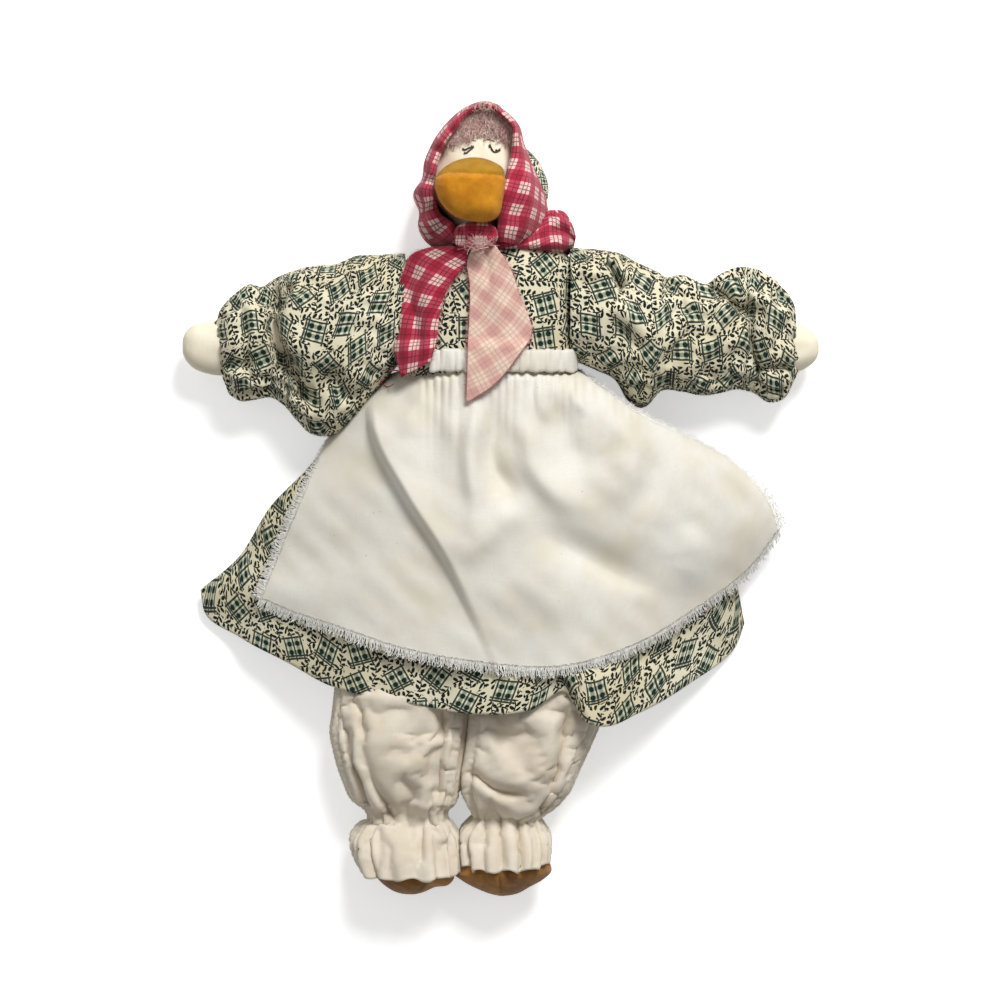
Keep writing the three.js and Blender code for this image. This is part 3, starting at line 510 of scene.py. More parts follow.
# How each is made, its colours as on a screen, and then the numbers that its function names
LOOKS = {
    "calico": [calico],
    "muslin": [plain_cloth, (246, 238, 216), (238, 226, 200), 0.4, 0.05],
    "apron_muslin": [plain_cloth, (234, 231, 222), (224, 217, 198), 0.45, 0.05, 0.9, 0.1, 0.03, 0.19],
    "pantaloon_cotton": [plain_cloth, (238, 228, 210), (226, 212, 190), 0.5, 0.1, 0.95, 0.15, 0.05],
    "kerchief_check": [check, (163, 22, 52), (190, 62, 86), (246, 204, 196), (96, 6, 28), 0.16],
    "kerchief_reverse": [
        check, (212, 162, 152), (226, 188, 172), (238, 212, 192), (170, 118, 108), 0.68, 0.4
    ],
    "bill_felt": [felt, (228, 154, 30), (200, 124, 18)],
    # A darker copy of the bill's felt for its upper piece, painted shade where it tilts away from the lamp
    "bill_felt_upper": [felt, (192, 142, 24), (168, 116, 16)],
    # The feet's suede in two copies, darker and lighter: painted shade and painted light on the facets of
    # each foot
    "foot_suede": [suede, (164, 110, 36), (118, 74, 18)],
    "foot_suede_light": [suede, (184, 130, 50), (146, 96, 28)],
    "thread": [thread_look, (92, 80, 68), (58, 48, 40)],
    "apron_thread": [thread_look, (246, 245, 240), (232, 229, 220)],
    "fringe_thread": [thread_look, (240, 214, 204), (214, 182, 170)],
    "fringe_thread_dark": [thread_look, (206, 168, 156), (172, 136, 124)],
    "red_thread": [thread_look, (172, 30, 56), (128, 10, 36)],
    "check_thread": [thread_look, (232, 170, 164), (188, 70, 88)],
}
looks = {name: make(name, *values) for name, (make, *values) in LOOKS.items()}


# Hanging finished pieces on the frame


def finish_piece(obj, slot, *nodes):
    """Hides the solids that the piece stands for; its slot is not used."""
    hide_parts(*nodes)


def ride(obj, body, slot, *nodes):
    """A piece that follows one body."""
    finish_piece(obj, slot, *nodes)
    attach(obj, body)


def bend(obj, limb, start, end, slot, *nodes):
    """A piece baked where it lies, that follows no body; limb, start and end are not used."""
    finish_piece(obj, slot, *nodes)
    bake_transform(obj)


# Forms


def tube(stations, rows, columns, pleats=15, fullness=FULL, seed=SEED):
    """Grid of a soft tube whose columns start at the back, and how far each point is to the front.

    A station is x and y of its two plan edges, low and high, and the depth of its gathers.
    """
    keys = np.asarray(stations, float)
    step = np.linalg.norm(np.diff(keys[:, :2], axis=0), axis=1)
    step = step + np.linalg.norm(np.diff(keys[:, 2:4], axis=0), axis=1)
    place = np.r_[0, np.cumsum(step)]
    keys = along(keys, place, np.linspace(0, place[-1], rows))
    turn = np.linspace(-math.pi / 2, 1.5 * math.pi, columns, endpoint=False)
    phase = np.random.default_rng(seed).random(3) * 2 * math.pi
    wave = np.cos(pleats * turn + 1.6 * np.sin(2 * turn + phase[0]) + phase[1])
    wave = wave + 0.5 * np.cos((pleats // 2 + 2) * turn + phase[2])
    x1, y1, x2, y2, low, high, gather = keys.T[:, :, None]
    half = np.maximum(np.hypot(x1 - x2, y1 - y2) / 2, 1)
    grow = 1 + gather * wave / half
    across = rounded(np.cos(turn), fullness) * grow
    depth = rounded(np.sin(turn), fullness) * grow
    x = (x1 + x2) / 2 + (x1 - x2) / 2 * across
    y = (y1 + y2) / 2 + (y1 - y2) / 2 * across
    z = np.maximum((low + high) / 2 + (high - low) / 2 * depth, FLOOR_GAP)
    return grid(x, y, z), np.clip(np.sin(turn), 0, 1) ** 0.5 * np.ones((rows, 1))


def pillow(outline, centre, low, high, power, rings=26, columns=96):
    """Grids of the front and the back of a stuffed form of that plan outline, rounder for less power."""
    edge = chain([*outline, outline[0]], columns + 1)[:-1]
    share = np.sin(np.linspace(0, math.pi / 2, rings))[:, None]
    x = centre[0] + (edge[:, 0] - centre[0]) * share
    y = centre[1] + (edge[:, 1] - centre[1]) * share
    lift = (1 - share**power) ** (1 / power) * np.ones_like(x)
    middle = (low + high) / 2
    front = grid(x, y, middle + (high - middle) * lift)
    back = grid(x, y, middle - (middle - low) * lift)
    return front, back


def radial_plane(points):
    """Cloth plane of a grid whose rows run out from its middle."""
    run = run_lengths(points, 0)
    turn = np.linspace(0, 2 * math.pi, points.shape[1])
    return grid(run * np.cos(turn), run * np.sin(turn))


def stuffed(name, front, back, look):
    """A closed stuffed form of its front and back grids."""
    whole = np.concatenate([front, back[-2::-1]], axis=0)
    wrapped = np.concatenate([whole, whole[:, :1]], axis=1)
    return surface(name, whole, look, closed=True, plane=radial_plane(wrapped))


def patch(top, bottom, left, right, rows, columns):
    """Plan grid between four edge curves, with the share down and the share across."""
    a, b = chain(top, columns)[None], chain(bottom, columns)[None]
    c, d = chain(left, rows)[:, None], chain(right, rows)[:, None]
    v = np.linspace(0, 1, rows)[:, None, None]
    u = np.linspace(0, 1, columns)[None, :, None]
    corners = (1 - v) * ((1 - u) * a[:, :1] + u * a[:, -1:]) + v * ((1 - u) * b[:, :1] + u * b[:, -1:])
    plan = (1 - v) * a + v * b + (1 - u) * c + u * d - corners
    return plan[..., 0], plan[..., 1], v[..., 0] + 0 * u[..., 0], u[..., 0] + 0 * v[..., 0]


def fray(edge, outward, length, spacing, seed, droop, bow=0.25):
    """Loose threads that stand out from an edge of cloth."""
    dice = np.random.default_rng(seed)
    run = run_along(edge)
    paths = []
    for place in np.arange(0, run[-1], spacing):
        at = place + dice.normal(0, spacing / 2)
        root = np.array([np.interp(at, run, edge[:, k]) for k in range(3)])
        aim = np.array([np.interp(at, run, outward[:, k]) for k in range(3)])
        aim = aim / np.linalg.norm(aim)
        side = np.array([-aim[1], aim[0], 0])
        reach = length * dice.uniform(0.55, 1.1)
        lean, curl = dice.normal(0, 0.18), dice.normal(0, bow)
        t = np.linspace(-0.3, 1, 7)[:, None]
        path = root + reach * t * (aim + lean * side) + reach * curl * t * t * side
        path[:, 2] -= droop * t[:, 0] ** 2 * dice.uniform(0, 1) - dice.uniform(-0.25, 0.25)
        path[:, 2] = np.maximum(path[:, 2], 0.3)
        paths.append(path)
    return paths


def side_rims(points):
    """The grid turned twice, so that its last row is the first column, then the last column."""
    across = points.transpose(1, 0, 2)
    return across[::-1], across


def edge_out(points):
    """Edge and outward direction of the last row of a grid of points."""
    return points[-1], points[-1] - points[-3]


# Torso, arms and legs, of stuffed muslin


LIMBS = {
    "torso": [
        (30, 118, -32, 118, 10, 36, 0),
        (27, 104, -41, 104, 3, 45, 0),
        (31, 80, -45, 80, 2, 46, 0),
        (28, 50, -42, 50, 3, 43, 0),
        (29, 22, -43, 22, 4, 41, 0),
        (16, 8, -30, 8, 9, 34, 0),
    ],
    "left_arm": [
        (-49, 107, -49, 75, 6, 36, 0),
        (-88, 94, -88, 71, 8, 30, 0),
        (-115, 86, -115, 66, 9, 27, 0),
        (-132, 86, -132, 59.5, 8, 26.5, 0),
        (-141, 84.8, -140, 60, 7.5, 26, 0),
        (-148, 83.5, -148, 63, 8, 25, 0),
        (-151.6, 80.4, -151.4, 66.6, 10, 22.5, 0),
        (-153, 77, -153, 70, 13, 19, 0),
    ],
    "right_arm": [
        (35, 107, 35, 75, 6, 36, 0),
        (80, 94, 80, 70, 8, 30, 0),
        (118, 86, 118, 64, 9, 27, 0),
        (134, 86, 134, 60, 8, 26.5, 0),
        (141, 85, 141, 60.5, 7.5, 26, 0),
        (147.5, 82, 147.5, 63.5, 8, 25, 0),
        (151, 78.6, 151, 66.4, 10, 22.5, 0),
        (152.6, 75.5, 152.6, 69.5, 13, 19, 0),
    ],
    "left_leg": [
        (-19, -28, -47, -28, 7, 29, 0),
        (-24, -60, -51, -60, 7, 32, 0),
        (-33, -120, -55, -120, 9, 26, 0),
        (-37, -146, -53, -146, 9, 20, 0),
        (-36, -172, -52, -172, 11, 21, 0),
    ],
    "right_leg": [
        (24, -28, -4, -28, 7, 29, 0),
        (25, -60, -2, -60, 7, 32, 0),
        (19, -120, -3, -120, 9, 26, 0),
        (12, -146, -4, -146, 9, 20, 0),
        (10, -172, -6, -172, 11, 21, 0),
    ],
}


def make_limb(body, rows, columns, fullness=FULL, ripple=0):
    points, front = tube(LIMBS[body], rows, columns, fullness=fullness)
    x, y, z = np.moveaxis(points, 2, 0)
    z += front * ripple * wrinkles(x, y, 9, 41)
    obj = surface(body + "_muslin", capped(points), looks["muslin"], closed=True)
    ride(obj, body, "muslin", body + "_cover", body + "_stuffing")


# Bodice


def make_bodice():
    stations = [
        (33, 54, -47, 54, 0.5, 43.5, 0.5),
        (34, 60, -48, 60, 0.5, 47, 0.4),
        (36, 72, -50.5, 72, 0.5, 49, 0.2),
        (36.5, 95, -50.5, 95, 0.5, 49.5, 0),
        (36, 108, -49, 108, 0.5, 48.5, 0),
        (32, 116.5, -43, 117, 0.5, 46, 0),
        (22, 120.5, -34, 120.5, 3, 42, 0),
    ]
    points, front = tube(stations, 70, 110, pleats=24, fullness=2.5)
    x, y, z = np.moveaxis(points, 2, 0)
    z += front * 0.5 * wrinkles(x, y, 22, 3)
    creases = [
        ([(20, 112), (24, 95), (27, 74)], 1.3, 5, 4),
        ([(-12, 106), (-11, 90), (-9, 72)], -1.0, 4, 4),
        ([(30, 112), (33, 95), (34, 68)], -2.0, 3, 3),
    ]
    add_folds(x, y, z, creases, front)
    obj = thicken(surface("bodice_calico", points, looks["calico"], closed=True), CLOTH)
    ride(obj, "torso", "calico", "bodice")


# Sleeves and pantaloon legs, of gathered cloth


SLEEVES = {
    "left": {
        "seed": 12,
        "droop": 0.0,
        "stations": [
            (-46, 117.5, -46.5, 68, 1, 43, 0),
            (-58, 116.8, -60, 52, 0.6, 43, 0),
            (-70.4, 116, -71, 38.5, 0.6, 42, 0),
            (-80, 112.3, -80, 31, 0.6, 41, 0.3),
            (-91, 111, -91, 31.5, 0.6, 39, 0.6),
            (-101, 108.3, -98, 38, 0.6, 36, 0.8),
            (-109, 104.5, -105, 46, 1, 32, 1),
            (-115, 100.5, -111, 49.6, 1, 31, 1.2),
            (-121, 101.6, -118, 48.6, 0.8, 33, 1.2),
            (-128, 97, -125, 47.8, 0.8, 33, 1.2),
            (-133.5, 91.5, -130.5, 51.5, 1, 30, 1.3),
            (-136.8, 86, -133.4, 59, 2, 26, 1.4),
        ],
        "creases": [
            (
                [(-110, 105), (-107, 95), (-107.5, 85), (-105, 74), (-99, 62), (-94, 51), (-86, 41)],
                -7, 3, 4.5,
            ),
            ([(-100, 104), (-103, 95), (-106, 87)], -4.5, 2, 2.5),
            ([(-96, 100), (-101, 84), (-95, 66)], 2.6, 6, 5),
            ([(-112, 92), (-112.5, 76), (-107, 60)], 2.4, 4, 4),
            ([(-84, 62), (-74, 50), (-66, 48)], -3.5, 5, 5),
            ([(-62, 112), (-66, 95), (-64, 78)], 1.4, 8, 8),
            ([(-124, 95), (-122, 80), (-121, 62), (-117, 54)], -2.6, 2.5, 2.5),
            ([(-131, 66), (-124, 64), (-116, 66)], -2.4, 3, 2.5),
            ([(-130, 58), (-122, 56), (-113, 57)], 1.8, 3, 3),
        ],
    },
    "right": {
        "seed": 14,
        "droop": 0.0,
        "stations": [
            (33, 119.5, 33, 68, 1, 43, 0),
            (47.8, 118.4, 46, 62.5, 0.6, 43, 0),
            (57, 116.8, 55, 58, 0.6, 42.5, 0),
            (65, 112.5, 62, 47.5, 0.6, 41.5, 0.2),
            (75, 108, 69, 45.3, 0.6, 40, 0.4),
            (79, 105.3, 77, 53.3, 0.6, 38, 0.6),
            (87, 106.4, 87, 53, 0.6, 37, 0.6),
            (98.5, 102.2, 97, 51.4, 0.6, 34, 0.8),
            (106, 107, 106, 52.8, 0.6, 34, 0.9),
            (114, 110, 113, 54.8, 0.8, 33, 1.1),
            (122, 109, 121, 53.5, 0.8, 32, 1.2),
            (131, 103.7, 129, 48.8, 0.8, 32, 1.2),
            (138.5, 95, 136, 50.5, 0.8, 30, 1.2),
            (141.4, 82, 141, 60, 2, 25, 1.3),
        ],
        "creases": [
            ([(51, 114), (55.5, 104), (60, 99)], -5.5, 2.5, 3),
            ([(38, 111), (44, 108), (51, 112)], 2.5, 4, 4),
            ([(50, 88), (58, 80), (68, 69)], -2.6, 4, 5),
            ([(52, 92), (62, 84), (74, 76)], 2.2, 5, 5),
            ([(78, 104), (86, 94), (88, 84)], -2.2, 4, 4),
            ([(98.5, 103), (105, 97), (113, 91), (117, 84)], -4, 3, 4),
            ([(112, 91), (104, 84), (98, 78)], 2.4, 4, 4),
            ([(117, 101), (118, 88), (119, 76), (123, 62), (124, 53)], -5, 2.5, 2.5),
            ([(126, 100), (127.5, 86), (128, 70)], 1.8, 3, 3),
            ([(140, 62), (130, 63), (121, 62)], -3, 2.5, 2.5),
            ([(92, 62), (102, 58), (114, 60)], -2.2, 4, 4),
            ([(64, 56), (67, 52), (70, 56)], -1.5, 4, 4),
        ],
    },
}


PANTALOONS = {
    "left": {
        "seed": 4,
        "droop": 7.0,
        "stations": [
            (-12, 3, -50, 3, 2.4, 36, 0),
            (-13, -40, -66, -40, 2.4, 36, 0),
            (-14.5, -80, -77, -80, 2.4, 36, 0.3),
            (-16, -101, -80, -104, 1, 36, 0.4),
            (-17, -110, -80.8, -112, 0.6, 36, 0.5),
            (-18.4, -119, -79, -121, 0.6, 36, 0.6),
            (-20.7, -135, -74.5, -135, 0.6, 34, 0.8),
            (-23.4, -145.5, -69.5, -144.5, 0.8, 30, 1.2),
            (-27.3, -150.5, -62.8, -150.5, 2, 26, 1.1),
            (-27, -153.5, -62.3, -154, 2.2, 25, 1.0),
            (-24.8, -156, -66, -156, 1, 26, 1.1),
            (-22, -160.5, -69.6, -160.5, 0.7, 29, 1.3),
            (-20.4, -168, -69.4, -168, 0.7, 32, 1.5),
            (-20.4, -175, -66.4, -175, 0.8, 34, 1.7),
        ],
        "creases": [
            ([(-76, -100), (-72, -118), (-67, -135), (-62, -149), (-57, -155)], -4.5, 2.5, 2.5),
            ([(-65.5, -98), (-64.5, -118), (-59, -135), (-52.5, -148), (-48, -156)], -3.5, 2.5, 2.5),
            ([(-70, -96), (-68, -118), (-63, -135)], 1.8, 3, 3),
            ([(-27, -95), (-28, -115), (-29.5, -137), (-30, -150)], -6, 2.2, 2.2),
            ([(-32.5, -116), (-34.3, -134), (-33.4, -150)], -3, 2, 2),
            ([(-50, -131), (-43, -137), (-41, -146)], -2.4, 3.5, 3.5),
            ([(-46, -142), (-44, -152), (-43, -163)], -2.4, 2, 2),
            ([(-37, -148), (-38, -158), (-38, -170)], -2.6, 1.8, 1.8),
            ([(-57, -153), (-58, -166), (-60, -178)], -2.4, 2, 2),
            ([(-27.5, -158), (-27, -168), (-25.5, -178)], -2.6, 1.8, 1.8),
        ],
    },
    "right": {
        "seed": 5,
        "droop": 6.0,
        "stations": [
            (33, 3, -5, 3, 2.4, 36, 0),
            (40, -40, -10, -40, 2.4, 36, 0),
            (46, -80, -14, -80, 2.4, 36, 0.3),
            (47.5, -100, -15.5, -102, 1, 36, 0.4),
            (46.5, -108, -16.2, -113, 0.6, 36, 0.4),
            (42, -118.5, -17.6, -123, 0.6, 36, 0.5),
            (36.5, -130, -18.7, -133, 0.6, 35, 0.7),
            (31.4, -140.5, -17.5, -142, 0.8, 32, 1),
            (24, -148, -13.5, -149, 1.4, 28, 1.3),
            (17.8, -153, -12.5, -152.5, 2.2, 25, 1.0),
            (19.2, -156, -15, -155, 1, 26, 1.1),
            (21.6, -160, -18, -159, 0.7, 29, 1.3),
            (22.2, -166, -17.8, -167, 0.7, 32, 1.5),
            (21.2, -171.5, -16.8, -172.5, 0.8, 33.5, 1.7),
        ],
        "creases": [
            ([(32, -95), (28.7, -117), (25, -130), (18.6, -146), (12.5, -156)], -6, 2.2, 3),
            ([(27, -100), (23, -118), (18, -134)], 2.0, 4, 4),
            ([(-17, -128), (-8, -135), (2, -139), (13, -138)], -4, 3.5, 2.5),
            ([(-14, -134), (-4, -142), (8, -144)], 2.2, 3, 3),
            ([(-6, -116), (6, -113), (16, -108)], -2.0, 5, 5),
            ([(-8, -146), (-7, -154), (-9, -164)], -2.2, 2, 2),
            ([(0, -147), (0, -158), (1, -172)], -2.6, 1.8, 1.8),
            ([(8, -150), (9, -160), (10, -174)], -2.4, 1.8, 1.8),
            ([(14, -152), (17, -162), (19, -172)], -2.2, 1.8, 1.8),
        ],
    },
}

# Grid, gathers, ripples as height, size and seed, where the cloth comes loose, and the ruffle at its end
SLEEVE_CUT = {
    "grid": (150, 120),
    "pleats": 13,
    "ripples": [(0.7, 24, 21), (0.35, 11, 22)],
    "creases": {"deeper": 1.4, "narrower": 0.9},
    "loose": (0, 0.12),
    "ruffle": (7, 1.4),
}
PANTALOON_CUT = {
    "grid": (190, 150),
    "pleats": 17,
    "ripples": [(0.6, 26, 81), (0.3, 12, 82)],
    "creases": {},
    "loose": (0.3, 0.2),
    "ruffle": (8, 0.7),
}

# The simulation: its settings, its length, the furthest move and what still holds the loosest cloth
SETTLE = {
    "quality": 5,
    "mass": 0.2,
    "tension_stiffness": 10,
    "compression_stiffness": 10,
    "shear_stiffness": 5,
    "bending_stiffness": 4,
    "tension_damping": 15,
    "compression_damping": 15,
    "air_damping": 5,
    "pin_stiffness": 1,
    "shrink_min": -0.07,  # below 0 the cloth is cut larger than its form
}
SETTLE_FRAMES, SETTLE_CAP, SETTLE_HOLD = 14, 3.0, 0.008


def settled(points, loose):
    """Grid of a tube of cloth after a simulation in which it buckles into folds where it is loose."""
    trial = surface("trial", points, looks["muslin"], closed=True)
    held = trial.vertex_groups.new(name="held")
    for index, weight in enumerate((1 - (1 - SETTLE_HOLD) * loose).ravel()):
        held.add([index], float(weight), "REPLACE")
    cloth = trial.modifiers.new("cloth", "CLOTH")
    for key, value in SETTLE.items():
        setattr(cloth.settings, key, value)
    cloth.settings.vertex_group_mass = held.name
    cloth.settings.effector_weights.gravity = 0
    cloth.collision_settings.use_collision = False
    for number in range(1, SETTLE_FRAMES + 1):
        bpy.context.scene.frame_set(number)
    shaped = trial.evaluated_get(bpy.context.evaluated_depsgraph_get())
    after = np.empty(points.size)
    shaped.data.vertices.foreach_get("co", after)
    mesh = trial.data
    bpy.data.objects.remove(trial)
    bpy.data.meshes.remove(mesh)
    bpy.context.scene.frame_set(1)
    move = after.reshape(points.shape) / MM - points
    size = np.linalg.norm(move, axis=2, keepdims=True)
    points = points + move * np.minimum(1, SETTLE_CAP / (size + 1e-9))
    points[..., 2] = np.maximum(points[..., 2], FLOOR_GAP)
    return points


def ruffle_edge(points, rows, depth):
    """Waves the last rows of a gathered tube along its own run."""
    share = np.zeros(points.shape[0])
    share[-rows:] = np.linspace(0, 1, rows) ** 2
    turn = np.linspace(0, 2 * math.pi, points.shape[1], endpoint=False)
    wave = depth * (np.cos(11 * turn) + 0.6 * np.cos(17 * turn + 1))
    run = points[-1].mean(axis=0) - points[-rows].mean(axis=0)
    run /= np.linalg.norm(run)
    return points + share[:, None, None] * wave[None, :, None] * run


def gathered_tube(form, cut):
    """Grid of a sleeve or a leg of cloth: creased, ruffled at its end and settled."""
    points, front = tube(form["stations"], *cut["grid"], pleats=cut["pleats"], seed=form["seed"])
    x, y, z = np.moveaxis(points, 2, 0)
    broad, fine = (height * wrinkles(x, y, size, seed) for height, size, seed in cut["ripples"])
    z += front * (broad + fine)
    add_folds(x, y, z, form["creases"], front, **cut["creases"])
    run = np.linspace(0, 1, points.shape[0])[:, None]
    y -= form["droop"] * smooth((run - 0.8) / 0.2) * front
    start, ease = cut["loose"]
    loose = smooth((run - start) / ease) * smooth((1 - run) / 0.06) * (0.15 + 0.85 * front)
    return settled(ruffle_edge(points, *cut["ruffle"]), loose)


def make_sleeve(side):
    name, arm = f"{side}_sleeve", f"{side}_arm"
    points = gathered_tube(SLEEVES[side], SLEEVE_CUT)
    obj = thicken(surface(name + "_calico", points, looks["calico"], closed=True), CLOTH)
    bend(obj, arm, *SLEEVE_BEND[side], "calico", name, f"{side}_wrist_elastic")


def make_pantaloon(side):
    name, leg = f"{side}_pantaloon_leg", f"{side}_leg"
    points = gathered_tube(PANTALOONS[side], PANTALOON_CUT)
    obj = thicken(surface(name + "_flannel", points, looks["pantaloon_cotton"], closed=True), FLANNEL)
    bend(obj, leg, *LEG_BEND, "pantaloon_cotton", name, f"{side}_ankle_elastic")


# Skirt


WAIST, HEM = 61.0, -102.0
MIDDLE, DRIFT = -7.0, -7.0  # x of the crest at the waist, and its move down to the hem
CREST, SINK, BASE = 44.5, 4.0, 2.6  # rise of the crest, its loss down to the hem, and what it stands on
LEFT_LEAN = 0.8  # below 1 the left side falls sooner
# y and x of the clothes' two sides
LEFT_SIDE = [
    (-110, -150), (-60, -150), (-45, -147), (-29, -131), (-3, -114), (14, -96), (40, -75), (62, -51),
]
RIGHT_SIDE = [
    (-110, 120), (-60, 121), (-40, 126), (-15, 138), (0, 134), (16, 118), (33, 92), (45, 74), (62, 38),
]


def curve_at(keys, wanted):
    """Smooth value at the wanted places, from pairs of a place and its value."""
    place, values = np.array(keys, float).T
    inside = np.clip(wanted, place[0], place[-1])
    return along(values[:, None], place, inside.ravel())[:, 0].reshape(inside.shape)


def body_height(x, y):
    """Height of the clothes over the body, from the crest to the floor at the sides."""
    left, right = curve_at(LEFT_SIDE, y), curve_at(RIGHT_SIDE, y)
    down = smooth((WAIST - y) / (WAIST - HEM))
    middle = MIDDLE + DRIFT * down
    share = np.where(x < middle, (middle - x) / (middle - left), (x - middle) / (right - middle))
    share = np.clip(share, 0, 1) ** np.where(x < middle, LEFT_LEAN, 1)
    full = (1 - share**FULL) ** (1 / FULL)
    return BASE + (CREST - SINK * down) * ((1 - down) * full + down * fall(share, 1.7))


def chest_height(x, half, foot, rise):
    """Height of an arch over the chest, that wide to each side."""
    share = np.clip(np.abs((x - MIDDLE) / half), 0, 1)
    return foot + rise * (1 - share**2.5) ** (1 / 2.5)


def step(x, y, path, height, width):
    """Cloth that stands higher to the left of a path than to its right."""
    distance, _ = from_path(x, y, path)
    return height * smooth(distance / width + 0.5) * np.exp(-((distance / 40) ** 2))


def make_skirt_front():
    x, y, v, u = patch(
        [(-49, 61), (-7, 62), (35, 61)],
        [
            (-145, -44), (-143, -55), (-125, -67), (-101, -79), (-82, -89), (-48, -96), (-15, -102),
            (14, -100), (31, -92), (35, -97), (41, -106), (47, -108), (66, -102), (90, -89), (114, -70),
            (117.5, -60),
        ],
        [(-49, 61), (-66, 46), (-80, 30), (-94, 13), (-110, -3), (-127, -29), (-145, -44)],
        [(35, 61), (60, 42), (86, 14), (104, -15), (113, -39), (117.5, -60)],
        rows=120,
        columns=240,
    )
    z = body_height(x, y) - 1.2
    z += 1.5 * v**2 * np.cos(26 * u + 2 * np.sin(9 * u)) + 0.5 * wrinkles(x, y, 30, 51)
    z += step(x, y, [(24, -66), (29, -80), (35, -94), (42, -110)], 6, 5) * smooth((-72 - y) / 16)
    folds = [
        ([(-100, -30), (-112, -52), (-120, -72)], 2.5, 9, 7),
        ([(-62, -60), (-66, -78), (-70, -96)], 2.2, 8, 8),
        ([(-30, -70), (-30, -86), (-31, -103)], -2.0, 6, 6),
        ([(5, -76), (6, -90), (4, -104)], 2.4, 8, 7),
        ([(70, -70), (74, -86), (78, -100)], 2.0, 8, 8),
        ([(92, -56), (100, -68), (110, -80)], -1.6, 7, 7),
    ]
    add_folds(x, y, z, folds, fade=(0.4, 0.01))
    covered = smooth((y - curve_at(APRON_HEM, x)) / 8 + 0.6)
    z -= covered * np.maximum(z - apron_height(x, y) + 2.0, 0)
    points = grid(x, y, np.maximum(z, 2.2))
    obj = thicken(surface("skirt_front_calico", points, looks["calico"]), CLOTH, 1)
    bend(obj, "left_leg", *SKIRT_BEND, "calico", "skirt_front_panel")


def make_skirt_back():
    x, y, v, u = patch(
        [(-48, 61), (-7, 61), (34, 61)],
        [
            (-143, -45), (-122, -64), (-82, -86), (-48, -93), (-15, -98), (20, -98), (66, -97), (112, -66),
            (115, -59),
        ],
        [(-48, 61), (-78, 30), (-108, -3), (-125, -29), (-143, -45)],
        [(34, 61), (84, 14), (102, -15), (115, -59)],
        rows=60,
        columns=110,
    )
    points = grid(x, y, 0.5 + 0.35 * v * (1 + np.cos(34 * u)))
    obj = thicken(surface("skirt_back_calico", points, looks["calico"]), THIN, 1)
    bend(obj, "left_leg", *SKIRT_BEND, "calico", "skirt_back_panel")


# Apron


BAND_FOOT, BAND_TOP = 60.8, 70.4
BAND_LEFT, BAND_RIGHT = -33.5, 36.0


def make_apron_band():
    u, v = np.meshgrid(np.linspace(0, 1, 260), np.linspace(0, 1, 20))
    x = BAND_LEFT + (BAND_RIGHT - BAND_LEFT) * u
    wave = wrinkles(80 * u, 2.5 * v, 7, 65, 12) + 0.5 * wrinkles(80 * u, 2.5 * v, 3.4, 66, 12)
    y = BAND_FOOT + (BAND_TOP - BAND_FOOT) * v + 0.45 * wave * (2 * v - 1)
    roll = np.sqrt(np.clip(1 - (2 * v - 1) ** 2, 0, 1))
    z = chest_height(x, 43, 24, 24.4) + 1.4 + 1.1 * roll + 0.42 * wave
    points = grid(x, y, z)
    obj = thicken(surface("apron_band_muslin", points, looks["apron_muslin"], middle=0), 0.9)
    ride(obj, "torso", "apron_muslin", "apron_waistband")


APRON_FOLDS = [
    ([(-10, 58), (-11.6, 46), (-14.6, 18), (-13, -4), (-18, -20)], 4.6, 5, 4.5),
    ([(0, 52), (-3, 36), (-4, 16), (4, 2), (0, -12)], -4.8, 5, 6),
    ([(9, 54), (12, 34), (15, 16), (26, 2), (38, -5), (48, -8)], 5.0, 6, 6),
    ([(48, -8), (56, 1), (61, 12), (61.5, 25), (53, 37), (40, 56)], 4.6, 9, 7),
    ([(24, 52), (29, 34), (34, 22), (46, 10)], -5.0, 7, 9),
    ([(15, 6), (4, -6), (-8, -18), (-26, -34)], 3.4, 7, 12),
    ([(12, -6), (26, -19), (41, -28), (58, -37), (82, -43)], -5.6, 10, 6),
    ([(6, -28), (22, -44), (42, -56)], 3.0, 13, 12),
    ([(87, -10), (92, -28), (86, -48)], 3.6, 9, 12),
    ([(74, 30), (72, 10), (66, -10)], -2.6, 8, 9),
    ([(-28, 50), (-33, 22), (-26, -8)], -3.2, 9, 10),
    ([(-20, 58), (-24, 40), (-24, 22)], 1.6, 3, 4),
    ([(17, 59), (19, 46), (22, 34)], 2.0, 2.6, 3),
    ([(30, 59), (36, 47), (42, 38)], 1.8, 3, 3),
    ([(-32, 57), (-40, 44), (-48, 28)], 2.0, 5, 5),
    ([(100, 18), (112, 2), (118, -14)], -1.8, 6, 8),
]
APRON_PLEAT = [(-62, 58), (-62.8, 48), (-61, 32), (-46.8, 3.6), (-26.7, -28.3), (-4, -77)]
APRON_HEM = [
    (-116, -48), (-98, -55), (-82, -60), (-48, -71), (-10, -78), (28, -80), (66, -69), (95, -52),
    (118, -35), (134, -15),
]


def apron_height(x, y):
    """Height of the apron's cloth: gathered at the band, with a pleat and folds below."""
    top = np.exp(-np.clip(BAND_FOOT - y, 0, None) / 11) * smooth((x + 42) / 8)
    z = body_height(x, y) + 3.2 + 0.8 * top * np.cos(1.45 * x + 1.4 * np.sin(0.21 * x))
    z += 0.5 * wrinkles(x, y, 46, 61) + 0.2 * wrinkles(x, y, 17, 62)
    fade = smooth((52 - y) / 22) * (0.15 + 0.85 * smooth((y + 74) / 66))
    z += (step(x, y, APRON_PLEAT, 7.0, 5.0) + fold(x, y, APRON_PLEAT, 1.6, 6, 2.2, (0.1, 0.3))) * fade
    z -= 2.6 * smooth((y - 55.5) / 6)
    add_folds(x, y, z, APRON_FOLDS, fade=(0.4, 0.4))
    return np.maximum(z, 4.2)


